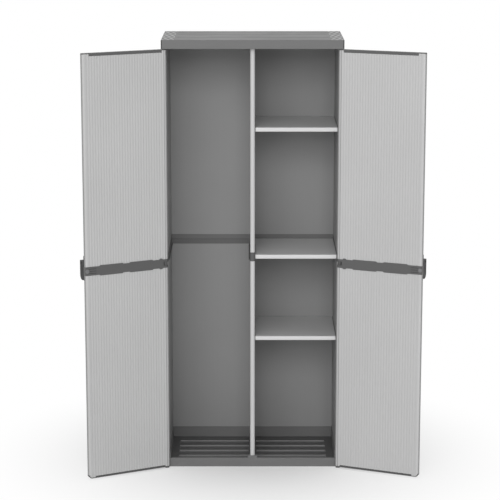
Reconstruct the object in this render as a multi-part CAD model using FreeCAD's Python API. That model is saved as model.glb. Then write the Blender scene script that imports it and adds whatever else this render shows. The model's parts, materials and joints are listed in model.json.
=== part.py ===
import FreeCAD, Part
import math
import os

from FreeCAD import Matrix, Placement, Rotation, Vector

# A tall two-door storage cabinet of moulded and extruded plastic.
# Millimetres, +Z up, +Y to the back, origin at the centre of the base on the floor.

# Carcass, over all
CABINET_WIDTH = 680.0
CABINET_HEIGHT = 1655.0
CARCASS_DEPTH = 339.0
CORNER_RADIUS = 5.0

# Gaps between pieces
POCKET_GAP = 0.2
RUNNING_GAP = 0.05
SHELF_SIDE_GAP = 0.5
HINGE_SIDE_GAP = 0.5

# Moulded walls of the base and the cover
SKIRT_WALL = 2.6
BASE_HEIGHT = 62.0
LIP_HEIGHT = 34.4
LIP_DEPTH = 10.0
LIP_RAMP = 16.0
FLOOR_HEIGHT = 20.0
FLOOR_PLATE = 2.5
GUIDE_HEIGHT = 16.0
GUIDE_WALL = 2.5
SOCKET_WIDTH = 38.0
SOCKET_HEIGHT = 23.0
SOCKET_DEPTH = 19.0
COVER_HEIGHT = 33.6
COVER_EDGE = 2.0
COVER_PANEL_COUNT = 3
COVER_PANEL_GAP = 38.0
COVER_PANEL_MARGIN = 56.0
COVER_PANEL_RECESS = 1.2
COVER_GUSSET_COUNT = 3

# Slatted floor of the base
SLAT_PITCH = 63.0
SLAT_SLOT = 16.0
SLAT_COUNT = 4
SLAT_SIDE_MARGIN = 30.0
SLAT_NOSE_WALL = 2.0
SLAT_NOSE_DROP = 6.0
SLAT_NOSE_RISE = 3.0

# Hollow extruded panels
SIDE_THICKNESS = 17.0
BACK_THICKNESS = 8.0
DIVIDER_THICKNESS = 18.0
SHELF_THICKNESS = 16.5
DOOR_THICKNESS = 18.0
PANEL_SKIN = 1.4
PANEL_WEB = 1.2
CELL_PITCH = 48.0
BACK_CELL_PITCH = 52.0
EDGE_RADIUS = 3.0
FLUTE_PITCH = 21.2
FLUTE_DEPTH = 0.6
FLUTE_MARGIN = 20.0

# Middle joints that stack the upper panels on the lower ones
JOINT_CENTRE = 830.0
JOINT_HEIGHT = 34.0
JOINT_WEB = 2.0
JOINT_SKIN = 1.3
DIVIDER_JOINT_SKIN = 1.5
LEDGE_WIDTH = 4.0
LEDGE_HEIGHT = 3.5
LEDGE_SETBACK = 14.0
RAIL_CENTRE = 835.0
RAIL_HEIGHT = 38.0
RAIL_FACE = 1.0
RAIL_RIDGE = 1.6

# Shelves and the pegs under two of them
SHELF_FRONT_SETBACK = 10.7
SHELF_NOSE_RADIUS = 3.5
UPPER_SHELF_TOP = 1324.0
MIDDLE_SHELF_TOP = 837.0
LOWER_SHELF_TOP = 518.0
DIVIDER_SETBACK = 2.7
PEG_LENGTH = 11.0
PEG_WIDTH = 12.0
PEG_HEIGHT = 4.0
PEG_STOP = 1.2
PEG_STOP_WIDTH = 16.0
PEG_STOP_HEIGHT = 13.0
PEG_TAB_LENGTH = 11.0
PEG_TAB_HEIGHT = 6.0

# Doors, and how far each one stands open at rest
DOOR_REAR_GAP = 1.0
DOOR_FLOOR_GAP = 5.0
DOOR_TOP_GAP = 1.9
DOOR_CENTRE_GAP = 3.0
LEFT_DOOR_OPEN = 153.0
RIGHT_DOOR_OPEN = 157.0

# End caps of the doors
CAP_PLATE = 3.0
CAP_WALL = 2.0
TOP_CAP_HEIGHT = 11.0
BOTTOM_CAP_HEIGHT = 8.0
CAP_HINGE_INSET = 20.0
CAP_FREE_INSET = 27.0
TOP_CORNER_RADIUS = 4.0
BOTTOM_CORNER_RADIUS = 13.0
CAP_TONGUE = 12.0
CAP_TONGUE_GAP = 0.5

# Band across the middle of each door
BAND_CENTRE = 810.0
BAND_SKIN = 1.3
BAND_WEB = 2.0
BAND_HALF = 16.5
BAND_WIDE_HALF = 19.5
BAND_BUMP_HALF = 20.5
BAND_SLOPE = 4.0
BAND_BUMP_OFFSET = 14.0
BAND_BUMP_LENGTH = 16.0
BAND_WIDE_OFFSET = 54.0
BAND_WIDE_LENGTH = 98.0
BAND_WIDE_PITCH = 122.0
BAND_WIDE_COUNT = 2
BAND_END_BLOCK = 24.0
BAND_OVERHANG = 0.8

# Hinges
PIN_RADIUS = 4.0
PIN_REACH = 21.5
PIN_BOSS_RADIUS = 6.9
PIN_BOSS_FLOOR = 3.0
BASE_LUG_HEIGHT = 4.5
BASE_LUG_RADIUS = 9.0
EAR_THICKNESS = 2.0
EAR_LUG_HEIGHT = 14.0
EAR_LUG_RADIUS = 8.0
MIDDLE_PIN_RADIUS = 3.0
KNUCKLE_SLOT = 11.0

# Handles
HANDLE_BOTTOM = 771.0
HANDLE_TOP = 845.0
HANDLE_REACH = 38.0
HANDLE_BLADE = 12.0
HANDLE_INSET = 1.0
HANDLE_CORNER = 3.0
FLANGE_WIDTH = 22.0
FLANGE_THICKNESS = 4.0
FLANGE_RISE = 22.0
FLANGE_CORNER = 3.0
SCOOP_RADIUS = 30.0
SCOOP_DEPTH = 3.5
EYE_RADIUS = 4.5
EYE_INSET = 10.0
SCREW_RADIUS = 2.0
SCREW_HEAD_RADIUS = 4.5
SCREW_HEAD = 2.0
SCREW_BITE = 16.0

# Places that follow from the sizes above
LUG_FLAT = math.cos(math.pi / 8)
HALF_WIDTH = CABINET_WIDTH / 2
BASE_FRONT = -CARCASS_DEPTH / 2
BASE_BACK = CARCASS_DEPTH / 2
SIDE_OUTER = HALF_WIDTH - SKIRT_WALL - POCKET_GAP
SIDE_INNER = SIDE_OUTER - SIDE_THICKNESS
RISER_OUTER = SIDE_INNER - POCKET_GAP
RISER_INNER = RISER_OUTER - SKIRT_WALL
PANEL_FRONT = BASE_FRONT + SKIRT_WALL + POCKET_GAP
PANEL_BACK = BASE_BACK - SKIRT_WALL - POCKET_GAP
BACK_FACE = PANEL_BACK - BACK_THICKNESS
BACK_RISER_BACK = BACK_FACE - POCKET_GAP
BACK_RISER_FRONT = BACK_RISER_BACK - SKIRT_WALL
COVER_BOTTOM = CABINET_HEIGHT - COVER_HEIGHT
COVER_CEILING = CABINET_HEIGHT - SKIRT_WALL
DOOR_REAR = BASE_FRONT - DOOR_REAR_GAP
HINGE_Y = DOOR_REAR - DOOR_THICKNESS / 2
COVER_FRONT = DOOR_REAR - DOOR_THICKNESS
HINGE_X = HALF_WIDTH - HINGE_SIDE_GAP - DOOR_THICKNESS / 2
LEAF_HALF = DOOR_THICKNESS / 2
LEAF_REACH = HINGE_X - DOOR_CENTRE_GAP / 2
LEAF_WIDTH = LEAF_REACH + LEAF_HALF
DOOR_BOTTOM = DOOR_FLOOR_GAP
DOOR_TOP = COVER_BOTTOM - DOOR_TOP_GAP
DIVIDER_HALF = DIVIDER_THICKNESS / 2
DIVIDER_FRONT = PANEL_FRONT + DIVIDER_SETBACK
DIVIDER_BACK = BACK_RISER_FRONT - POCKET_GAP
DIVIDER_DEPTH = DIVIDER_BACK - DIVIDER_FRONT
GUIDE_INNER = DIVIDER_HALF + POCKET_GAP
JOINT_INNER = SIDE_INNER - POCKET_GAP - JOINT_SKIN
JOINT_OUTER = SIDE_OUTER + POCKET_GAP + JOINT_SKIN
DIVIDER_JOINT_OUTER = DIVIDER_HALF + POCKET_GAP + DIVIDER_JOINT_SKIN
SHELF_LEFT = DIVIDER_JOINT_OUTER + SHELF_SIDE_GAP
SHELF_RIGHT = JOINT_INNER - SHELF_SIDE_GAP
SHELF_FRONT = PANEL_FRONT + SHELF_FRONT_SETBACK
SHELF_BACK = BACK_RISER_FRONT - SHELF_SIDE_GAP
SIDE_DEPTH = PANEL_BACK - PANEL_FRONT
RAIL_FRONT = BACK_FACE - POCKET_GAP - RAIL_FACE - RAIL_RIDGE


# General shapes

def block(x0, x1, y0, y1, z0, z1):
    """Box between two corners."""
    return Part.makeBox(x1 - x0, y1 - y0, z1 - z0, Vector(x0, y0, z0))


def upright_cylinder(radius, x, y, z0, z1):
    """Cylinder with a vertical axis."""
    return Part.makeCylinder(radius, z1 - z0, Vector(x, y, z0))


def polygon(centre_u, centre_v, radius, sides):
    """Corners of a regular polygon, the first one repeated, with a flat side to each axis."""
    points = []
    for index in range(sides + 1):
        turn = 2 * math.pi * (index + 0.5) / sides
        points.append((centre_u + radius * math.cos(turn), centre_v + radius * math.sin(turn)))
    return points


def eight_sided(radius, x, y, z0, z1):
    """Upright eight-sided boss or lug round a hinge pin."""
    corners = [Vector(u, v, z0) for u, v in polygon(x, y, radius, 8)]
    return Part.Face(Part.makePolygon(corners)).extrude(Vector(0, 0, z1 - z0))


def mirrored(shape):
    """The same shape on the other side of the cabinet."""
    return shape.mirror(Vector(0, 0, 0), Vector(1, 0, 0))


def joined(shapes):
    """One solid from shapes that overlap."""
    return shapes[0].multiFuse(shapes[1:]).removeSplitter()


def arc(centre_u, centre_v, radius, start, end):
    """Arc in the UV plane, angles in degrees."""
    points = []
    for angle in (start, (start + end) / 2, end):
        turn = math.radians(angle)
        points.append(Vector(centre_u + radius * math.cos(turn), centre_v + radius * math.sin(turn), 0))
    return Part.Arc(*points).toShape()


def polyline(points):
    """Straight edges through points of the UV plane."""
    return Part.makePolygon([Vector(u, v, 0) for u, v in points]).Edges


def quarter(centre_u, centre_v, radius, start, end, smooth=True):
    """Quarter turn between two angles: an arc, or two chords where it is small or hidden."""
    if smooth and radius > EDGE_RADIUS:
        return [arc(centre_u, centre_v, radius, start, end)]
    points = []
    for angle in (start, (start + end) / 2, end):
        turn = math.radians(angle)
        points.append((centre_u + radius * math.cos(turn), centre_v + radius * math.sin(turn)))
    return polyline(points)


def fluted_points(u0, u1, face, inward, ridges):
    """Points along a face from u0 to u1, with a shallow valley between each two ridges."""
    points = [(u0, face)]
    for near, far in zip(ridges, ridges[1:]):
        points.append((near, face))
        points.append(((near + far) / 2, face + inward * FLUTE_DEPTH))
    points.extend((ridge, face) for ridge in ridges[-1:])
    points.append((u1, face))
    return points


def rounded_edges(u0, u1, half, start_radius, end_radius, low=(), high=(), smooth=True):
    """Closed outline of a long bar, anticlockwise, with its ends rounded."""
    low_points = fluted_points(u0 + start_radius, u1 - end_radius, -half, 1, low)
    high_points = fluted_points(u0 + start_radius, u1 - end_radius, half, -1, high)
    edges = polyline(low_points)
    if end_radius > 0:
        edges.extend(quarter(u1 - end_radius, end_radius - half, end_radius, -90, 0, smooth))
    if end_radius < half:
        edges.extend(polyline([(u1, end_radius - half), (u1, half - end_radius)]))
    if end_radius > 0:
        edges.extend(quarter(u1 - end_radius, half - end_radius, end_radius, 0, 90, smooth))
    edges.extend(polyline(high_points[::-1]))
    if start_radius > 0:
        edges.extend(quarter(u0 + start_radius, half - start_radius, start_radius, 90, 180, smooth))
    if start_radius < half:
        edges.extend(polyline([(u0, half - start_radius), (u0, start_radius - half)]))
    if start_radius > 0:
        edges.extend(quarter(u0 + start_radius, start_radius - half, start_radius, 180, 270, smooth))
    return edges


def prism(wires, z0, z1):
    """Upright solid from an outline and the holes in it."""
    face = Part.makeFace(wires, "Part::FaceMakerBullseye")
    solid = face.extrude(Vector(0, 0, z1 - z0))
    solid.translate(Vector(0, 0, z0))
    return solid


def rounded_block(x0, x1, y0, y1, z0, z1, radius):
    """Box with its four upright edges rounded."""
    middle = (y0 + y1) / 2
    outline = Part.Wire(rounded_edges(x0, x1, (y1 - y0) / 2, radius, radius))
    solid = prism([outline], z0, z1)
    solid.translate(Vector(0, middle, 0))
    return solid


# Hollow extruded panels

def web_places(width, thickness, pitch):
    """Centre of each web across a panel, from the first end cell to the last."""
    first = thickness + PANEL_WEB / 2
    last = width - first
    count = max(1, round((last - first) / pitch))
    return [first + (last - first) * index / count for index in range(count + 1)]


def cell_centre(width, thickness, pitch, fraction):
    """Centre of the whole cell nearest to a fraction of the panel's width."""
    webs = web_places(width, thickness, pitch)
    centres = [(near + far) / 2 for near, far in zip(webs, webs[1:])]
    return min(centres, key=lambda centre: abs(centre - fraction * width))


def flute_ridges(width):
    """Ridges across a panel, a flute apart, between its plain margins."""
    span = width - 2 * FLUTE_MARGIN
    count = round(span / FLUTE_PITCH)
    return [FLUTE_MARGIN + span * index / count for index in range(count + 1)]


def hollow_panel(width, thickness, length, pitch, start_radius, end_radius, low=(), high=()):
    """Extruded panel: two skins, webs between them, U across, V through, extruded up."""
    half = thickness / 2
    inner_half = half - PANEL_SKIN
    webs = web_places(width, thickness, pitch)
    bounds = [PANEL_SKIN - PANEL_WEB / 2] + webs + [width - PANEL_SKIN + PANEL_WEB / 2]
    wires = [Part.Wire(rounded_edges(0, width, half, start_radius, end_radius, low, high))]
    last = len(bounds) - 2
    for index in range(last + 1):
        near = bounds[index] + PANEL_WEB / 2
        far = bounds[index + 1] - PANEL_WEB / 2
        near_radius = max(0, start_radius - PANEL_SKIN) if index == 0 else 0
        far_radius = max(0, end_radius - PANEL_SKIN) if index == last else 0
        cell = rounded_edges(near, far, inner_half, near_radius, far_radius, smooth=False)
        wires.append(Part.Wire(cell))
    return prism(wires, 0, length)


def stood_along_depth(panel, x_centre, y_start, z_start):
    """Turn a panel so that its width runs to the back and set its first edge in place."""
    panel.Placement = Placement(Vector(x_centre, y_start, z_start), Rotation(Vector(0, 0, 1), 90))
    return panel


def peg_height(shelf_top):
    """Height of the middle of the pegs' shanks under a shelf."""
    return shelf_top - SHELF_THICKNESS - PEG_STOP_HEIGHT / 2


def side_peg_places():
    """Depths of the front and back pegs, each in the middle of a cell of the side panel."""
    places = []
    for fraction in (0.25, 0.75):
        inside = cell_centre(SIDE_DEPTH, SIDE_THICKNESS, CELL_PITCH, fraction)
        places.append(PANEL_FRONT + inside)
    return places


def divider_peg_places():
    """Depths of the front and back pegs, each in the middle of a cell of the divider."""
    places = []
    for fraction in (0.25, 0.75):
        inside = cell_centre(DIVIDER_DEPTH, DIVIDER_THICKNESS, CELL_PITCH, fraction)
        places.append(DIVIDER_FRONT + inside)
    return places


def peg_slot(x0, x1, y, z):
    """Slot in a panel's skin that a peg plugs into."""
    half_width = PEG_WIDTH / 2 + RUNNING_GAP
    half_height = PEG_HEIGHT / 2 + RUNNING_GAP
    return block(x0, x1, y - half_width, y + half_width, z - half_height, z + half_height)


def side_panel(bottom, top, shelf_top):
    """Right side panel, with the slots for a shelf's pegs in its inner skin."""
    panel = hollow_panel(SIDE_DEPTH, SIDE_THICKNESS, top - bottom, CELL_PITCH,
                         EDGE_RADIUS, EDGE_RADIUS, low=flute_ridges(SIDE_DEPTH))
    panel = stood_along_depth(panel, (SIDE_INNER + SIDE_OUTER) / 2, PANEL_FRONT, bottom)
    if shelf_top is None:
        return panel
    for y in side_peg_places():
        slot = peg_slot(SIDE_INNER - PANEL_SKIN, SIDE_INNER + 2 * PANEL_SKIN, y, peg_height(shelf_top))
        panel = panel.cut(slot)
    return panel


def divider_panel(bottom, top, shelf_top):
    """Divider with a round front edge and the slots for a shelf's pegs in its right skin."""
    panel = hollow_panel(DIVIDER_DEPTH, DIVIDER_THICKNESS, top - bottom, CELL_PITCH, DIVIDER_HALF, 0)
    panel = stood_along_depth(panel, 0, DIVIDER_FRONT, bottom)
    for y in divider_peg_places():
        slot = peg_slot(DIVIDER_HALF - 2 * PANEL_SKIN, DIVIDER_HALF + PANEL_SKIN, y, peg_height(shelf_top))
        panel = panel.cut(slot)
    return panel


def back_panel(bottom, top):
    """Thin double-wall back panel, the full width between the side panels."""
    width = 2 * (SIDE_INNER - POCKET_GAP)
    panel = hollow_panel(width, BACK_THICKNESS, top - bottom, BACK_CELL_PITCH, 0, 0)
    panel.translate(Vector(-width / 2, BACK_FACE + BACK_THICKNESS / 2, bottom))
    return panel


def shelf(top):
    """Shelf: a hollow panel that lies on its side, with a softly squared front edge."""
    panel = hollow_panel(SHELF_BACK - SHELF_FRONT, SHELF_THICKNESS, SHELF_RIGHT - SHELF_LEFT,
                         CELL_PITCH, SHELF_NOSE_RADIUS, 0)
    lying = Placement(Matrix(0, 0, 1, SHELF_LEFT, 1, 0, 0, SHELF_FRONT, 0, 1, 0, top - SHELF_THICKNESS / 2))
    panel.Placement = lying
    return panel


def shelf_peg(wall_x, direction, y, shelf_top):
    """Peg in a wall: a flat shank, a stop plate on the wall and the tab that carries the shelf."""
    under = shelf_top - SHELF_THICKNESS
    z = peg_height(shelf_top)
    half = PEG_WIDTH / 2
    stop_half = PEG_STOP_WIDTH / 2
    near, far = sorted((wall_x, wall_x - direction * PEG_LENGTH))
    shank = block(near, far, y - half, y + half, z - PEG_HEIGHT / 2, z + PEG_HEIGHT / 2)
    near, far = sorted((wall_x, wall_x + direction * PEG_STOP))
    stop = block(near, far, y - stop_half, y + stop_half, under - PEG_STOP_HEIGHT, under)
    near, far = sorted((wall_x, wall_x + direction * PEG_TAB_LENGTH))
    tab = block(near, far, y - half, y + half, under - PEG_TAB_HEIGHT, under)
    return joined([shank, stop, tab])


def shelf_pegs(shelf_top):
    """The four pegs that carry one shelf."""
    pegs = [shelf_peg(DIVIDER_HALF, 1, y, shelf_top) for y in divider_peg_places()]
    pegs += [shelf_peg(SIDE_INNER, -1, y, shelf_top) for y in side_peg_places()]
    return Part.makeCompound(pegs)


# Base

def slat_fronts():
    """Front edge of each slat that has a slot in front of it, back to front."""
    rearmost = BACK_RISER_FRONT - SLAT_PITCH
    return [rearmost - index * SLAT_PITCH for index in range(SLAT_COUNT)]


def base_hinge_lug():
    """Thin ear under the right door, with the pin that the door turns on."""
    half = BASE_LUG_RADIUS * LUG_FLAT
    ear = block(HINGE_X - half, HINGE_X + half, HINGE_Y, BASE_FRONT + SKIRT_WALL, 0, BASE_LUG_HEIGHT)
    tip = eight_sided(BASE_LUG_RADIUS, HINGE_X, HINGE_Y, 0, BASE_LUG_HEIGHT)
    pin = upright_cylinder(PIN_RADIUS, HINGE_X, HINGE_Y, 0, DOOR_BOTTOM + PIN_REACH)
    return joined([ear, tip, pin])


def base_riser():
    """Inner wall of the right side channel, ramped down to the front lip."""
    front = PANEL_FRONT - POCKET_GAP
    low = BASE_HEIGHT - LIP_RAMP
    outline = [(front, 0), (BACK_RISER_BACK, 0), (BACK_RISER_BACK, BASE_HEIGHT),
               (front + LIP_RAMP, BASE_HEIGHT), (front, low), (front, 0)]
    corners = [Vector(RISER_INNER, y, max(z, FLOOR_HEIGHT - FLOOR_PLATE)) for y, z in outline]
    return Part.Face(Part.makePolygon(corners)).extrude(Vector(SKIRT_WALL, 0, 0))


def divider_guides(z0, z1, back, front):
    """Pair of guide walls with the divider between them."""
    walls = []
    for side in (-1, 1):
        near, far = sorted((side * GUIDE_INNER, side * (GUIDE_INNER + GUIDE_WALL)))
        walls.append(block(near, far, front, back, z0, z1))
    return walls


def divider_socket():
    """Raised socket round the divider's front foot."""
    front = BASE_FRONT + 1
    socket = rounded_block(-SOCKET_WIDTH / 2, SOCKET_WIDTH / 2, front, front + SOCKET_DEPTH,
                           FLOOR_HEIGHT - FLOOR_PLATE, FLOOR_HEIGHT + SOCKET_HEIGHT, EDGE_RADIUS)
    nose = rounded_edges(DIVIDER_FRONT - POCKET_GAP, DIVIDER_BACK, GUIDE_INNER, GUIDE_INNER, 0)
    pocket = prism([Part.Wire(nose)], 0, SOCKET_HEIGHT + POCKET_GAP)
    pocket.Placement = Placement(Vector(0, 0, FLOOR_HEIGHT), Rotation(Vector(0, 0, 1), 90))
    return socket.cut(pocket)


def slot_ends():
    """Ends of the right bay's floor slots, near the divider and near the side."""
    return GUIDE_INNER + GUIDE_WALL + EDGE_RADIUS, RISER_INNER - SLAT_SIDE_MARGIN


def base_slots():
    """Through slots of the floor, in both bays."""
    slots = []
    inner, outer = slot_ends()
    for front in slat_fronts():
        for side in (-1, 1):
            near, far = sorted((side * inner, side * outer))
            slots.append(block(near, far, front - SLAT_SLOT, front, 0, FLOOR_HEIGHT + 1))
    return slots


def slat_noses():
    """Stiffening edge along the front of each slat: turned down under it, and a low rim on it."""
    inner, outer = slot_ends()
    low = FLOOR_HEIGHT - FLOOR_PLATE - SLAT_NOSE_DROP
    high = FLOOR_HEIGHT + SLAT_NOSE_RISE
    noses = []
    for front in slat_fronts():
        back = front + SLAT_NOSE_WALL
        rim = block(inner, outer, front, back, low, high)
        noses.extend([block(-outer, outer, front, back, low, FLOOR_HEIGHT), rim, mirrored(rim)])
    return noses


def base_feet():
    """Ribs under the floor that carry it to the ground."""
    low_front = BASE_FRONT + LIP_DEPTH
    ribs = []
    for x in (-RISER_INNER / 2, 0, RISER_INNER / 2):
        ribs.append(block(x - FLOOR_PLATE / 2, x + FLOOR_PLATE / 2, low_front, BACK_RISER_BACK,
                          0, FLOOR_HEIGHT))
    return ribs


def make_base():
    """Moulded base tray: skirt, front lip, channels for the panels and a slatted floor."""
    skirt = rounded_block(-HALF_WIDTH, HALF_WIDTH, BASE_FRONT, BASE_BACK, 0, BASE_HEIGHT, CORNER_RADIUS)
    hollow = rounded_block(SKIRT_WALL - HALF_WIDTH, HALF_WIDTH - SKIRT_WALL, BASE_FRONT + SKIRT_WALL,
                           BASE_BACK - SKIRT_WALL, 0, BASE_HEIGHT, EDGE_RADIUS)
    skirt = skirt.cut(hollow)
    skirt = skirt.cut(block(-HALF_WIDTH, HALF_WIDTH, BASE_FRONT, BASE_FRONT + SKIRT_WALL,
                            LIP_HEIGHT, BASE_HEIGHT))
    lip_back = BASE_FRONT + LIP_DEPTH
    floor_low = FLOOR_HEIGHT - FLOOR_PLATE
    lip_top = block(-RISER_OUTER, RISER_OUTER, BASE_FRONT, lip_back, LIP_HEIGHT - FLOOR_PLATE, LIP_HEIGHT)
    lip_wall = block(-RISER_OUTER, RISER_OUTER, lip_back - SKIRT_WALL, lip_back, floor_low, LIP_HEIGHT)
    edge = HALF_WIDTH - SKIRT_WALL
    floor = block(-edge, edge, lip_back - SKIRT_WALL, BASE_BACK - SKIRT_WALL, floor_low, FLOOR_HEIGHT)
    side_floor = block(RISER_INNER, edge, BASE_FRONT + SKIRT_WALL, lip_back, floor_low, FLOOR_HEIGHT)
    floor = joined([floor, side_floor, mirrored(side_floor)] + slat_noses() + base_feet())
    floor = floor.cut(Part.makeCompound(base_slots()))
    back_riser = block(-RISER_OUTER, RISER_OUTER, BACK_RISER_FRONT, BACK_RISER_BACK, floor_low, BASE_HEIGHT)
    riser = base_riser()
    guides = divider_guides(floor_low, FLOOR_HEIGHT + GUIDE_HEIGHT, BACK_RISER_FRONT, lip_back)
    lug = base_hinge_lug()
    walls = [skirt, lip_top, lip_wall, floor, back_riser, riser, mirrored(riser), lug, mirrored(lug)]
    whole = joined(walls + guides)
    nose_clear = prism([Part.Wire(rounded_edges(DIVIDER_FRONT - POCKET_GAP, DIVIDER_BACK, GUIDE_INNER,
                                                GUIDE_INNER, 0))], 0, BASE_HEIGHT)
    nose_clear.Placement = Placement(Vector(0, 0, FLOOR_HEIGHT), Rotation(Vector(0, 0, 1), 90))
    whole = whole.cut(nose_clear)
    return joined([whole, divider_socket()])


# Cover

def cover_recesses():
    """Long shallow recesses across the top of the cover."""
    depth = BASE_BACK - COVER_FRONT
    pitch = (depth - COVER_PANEL_GAP) / COVER_PANEL_COUNT
    reach = HALF_WIDTH - COVER_PANEL_MARGIN
    recesses = []
    for index in range(COVER_PANEL_COUNT):
        front = COVER_FRONT + COVER_PANEL_GAP + index * pitch
        recesses.append(rounded_block(-reach, reach, front, front + pitch - COVER_PANEL_GAP,
                                      CABINET_HEIGHT - COVER_PANEL_RECESS, CABINET_HEIGHT + 1, EDGE_RADIUS))
    return recesses


def cover_gussets():
    """Short ribs between the fascia and the wall that the doors close against."""
    gussets = []
    for index in range(COVER_GUSSET_COUNT):
        x = (index + 1) * 2 * RISER_INNER / (COVER_GUSSET_COUNT + 1) - RISER_INNER
        gussets.append(block(x - GUIDE_WALL / 2, x + GUIDE_WALL / 2, COVER_FRONT + SKIRT_WALL / 2,
                             BASE_FRONT + SKIRT_WALL / 2, COVER_BOTTOM + EDGE_RADIUS, COVER_CEILING + 1))
    return gussets


def cover_hinge_boss():
    """Boss that holds the right door's top pin."""
    return eight_sided(PIN_BOSS_RADIUS, HINGE_X, HINGE_Y, COVER_BOTTOM, COVER_CEILING + 1)


def make_cover():
    """Moulded cover: fascia and skirts, channels for the panels and bosses for the top pins."""
    shell = rounded_block(-HALF_WIDTH, HALF_WIDTH, COVER_FRONT, BASE_BACK, COVER_BOTTOM,
                          CABINET_HEIGHT, CORNER_RADIUS)
    rim = [edge for edge in shell.Edges if min(v.Z for v in edge.Vertexes) > CABINET_HEIGHT - 0.01]
    shell = shell.makeChamfer(COVER_EDGE, rim)
    hollow = rounded_block(SKIRT_WALL - HALF_WIDTH, HALF_WIDTH - SKIRT_WALL, COVER_FRONT + SKIRT_WALL,
                           BASE_BACK - SKIRT_WALL, COVER_BOTTOM, COVER_CEILING, EDGE_RADIUS)
    shell = shell.cut(hollow)
    shell = shell.cut(Part.makeCompound(cover_recesses()))
    high = COVER_CEILING + 1
    edge = HALF_WIDTH - SKIRT_WALL / 2
    stop = block(-edge, edge, BASE_FRONT, BASE_FRONT + SKIRT_WALL, COVER_BOTTOM, high)
    riser = block(RISER_INNER, RISER_OUTER, BASE_FRONT + SKIRT_WALL / 2, BACK_RISER_BACK, COVER_BOTTOM, high)
    back_riser = block(-RISER_OUTER, RISER_OUTER, BACK_RISER_FRONT, BACK_RISER_BACK, COVER_BOTTOM, high)
    guides = divider_guides(COVER_CEILING - GUIDE_HEIGHT, high, BACK_RISER_FRONT, BASE_FRONT + SKIRT_WALL / 2)
    boss = cover_hinge_boss()
    walls = [shell, stop, riser, mirrored(riser), back_riser, boss, mirrored(boss)]
    cover = joined(walls + guides + cover_gussets())
    bore = upright_cylinder(PIN_RADIUS + RUNNING_GAP, HINGE_X, HINGE_Y, COVER_BOTTOM,
                            COVER_CEILING - PIN_BOSS_FLOOR)
    return cover.cut(bore).cut(mirrored(bore))


def top_hinge_pins():
    """The two pins that stand in the cover's bosses and enter the doors' top caps."""
    pin = upright_cylinder(PIN_RADIUS, HINGE_X, HINGE_Y, DOOR_TOP - PIN_REACH, COVER_CEILING - PIN_BOSS_FLOOR)
    return Part.makeCompound([pin, mirrored(pin)])


# Middle joints

def middle_hinge_ear():
    """Front end of the right side joint, with the lug that the door's middle pin goes through."""
    lug_low = BAND_CENTRE - EAR_LUG_HEIGHT / 2
    lug_high = BAND_CENTRE + EAR_LUG_HEIGHT / 2
    top = JOINT_CENTRE + JOINT_HEIGHT / 2
    front = PANEL_FRONT - EAR_THICKNESS
    plate = block(JOINT_INNER, JOINT_OUTER, front, PANEL_FRONT, JOINT_CENTRE - JOINT_HEIGHT / 2, top)
    half = EAR_LUG_RADIUS * LUG_FLAT
    drop = block(HINGE_X - half, HINGE_X + half, front, PANEL_FRONT, lug_low, top)
    bar = block(HINGE_X - half, HINGE_X + half, HINGE_Y, PANEL_FRONT, lug_low, lug_high)
    tip = eight_sided(EAR_LUG_RADIUS, HINGE_X, HINGE_Y, lug_low, lug_high)
    bore = upright_cylinder(MIDDLE_PIN_RADIUS + RUNNING_GAP, HINGE_X, HINGE_Y, lug_low, lug_high)
    return joined([plate, drop, bar, tip]).cut(bore)


def side_joint():
    """Right side joint: an H section on both panels, a ledge for the shelf and the hinge ear."""
    low = JOINT_CENTRE - JOINT_HEIGHT / 2
    high = JOINT_CENTRE + JOINT_HEIGHT / 2
    section = block(JOINT_INNER, JOINT_OUTER, PANEL_FRONT, PANEL_BACK, low, high)
    web_low = JOINT_CENTRE - JOINT_WEB / 2
    web_high = JOINT_CENTRE + JOINT_WEB / 2
    near = SIDE_INNER - POCKET_GAP
    far = SIDE_OUTER + POCKET_GAP
    section = section.cut(block(near, far, PANEL_FRONT, PANEL_BACK, low, web_low))
    section = section.cut(block(near, far, PANEL_FRONT, PANEL_BACK, web_high, high))
    section = section.cut(block(JOINT_INNER, SIDE_INNER, RAIL_FRONT - POCKET_GAP, PANEL_BACK, low, high))
    ledge_high = MIDDLE_SHELF_TOP - SHELF_THICKNESS
    ledge = block(JOINT_INNER - LEDGE_WIDTH, near, PANEL_FRONT + LEDGE_SETBACK, DIVIDER_BACK - LEDGE_SETBACK,
                  ledge_high - LEDGE_HEIGHT, ledge_high)
    return joined([section, ledge, middle_hinge_ear()])


def divider_joint():
    """H section between the divider's two halves, with a ledge on each side."""
    low = JOINT_CENTRE - JOINT_HEIGHT / 2
    high = JOINT_CENTRE + JOINT_HEIGHT / 2
    front = DIVIDER_FRONT - POCKET_GAP - DIVIDER_JOINT_SKIN
    outer = rounded_edges(front, DIVIDER_BACK, DIVIDER_JOINT_OUTER, DIVIDER_JOINT_OUTER, 0)
    inner = rounded_edges(DIVIDER_FRONT - POCKET_GAP, DIVIDER_BACK, GUIDE_INNER, GUIDE_INNER, 0)
    body = prism([Part.Wire(outer)], low, high)
    body = body.cut(prism([Part.Wire(inner)], low, JOINT_CENTRE - JOINT_WEB / 2))
    body = body.cut(prism([Part.Wire(inner)], JOINT_CENTRE + JOINT_WEB / 2, high))
    body.Placement = Placement(Vector(0, 0, 0), Rotation(Vector(0, 0, 1), 90))
    ledge_high = MIDDLE_SHELF_TOP - SHELF_THICKNESS
    ledge = block(GUIDE_INNER, DIVIDER_JOINT_OUTER + LEDGE_WIDTH, PANEL_FRONT + LEDGE_SETBACK,
                  DIVIDER_BACK - LEDGE_SETBACK, ledge_high - LEDGE_HEIGHT, ledge_high)
    return joined([body, ledge, mirrored(ledge)])


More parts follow.
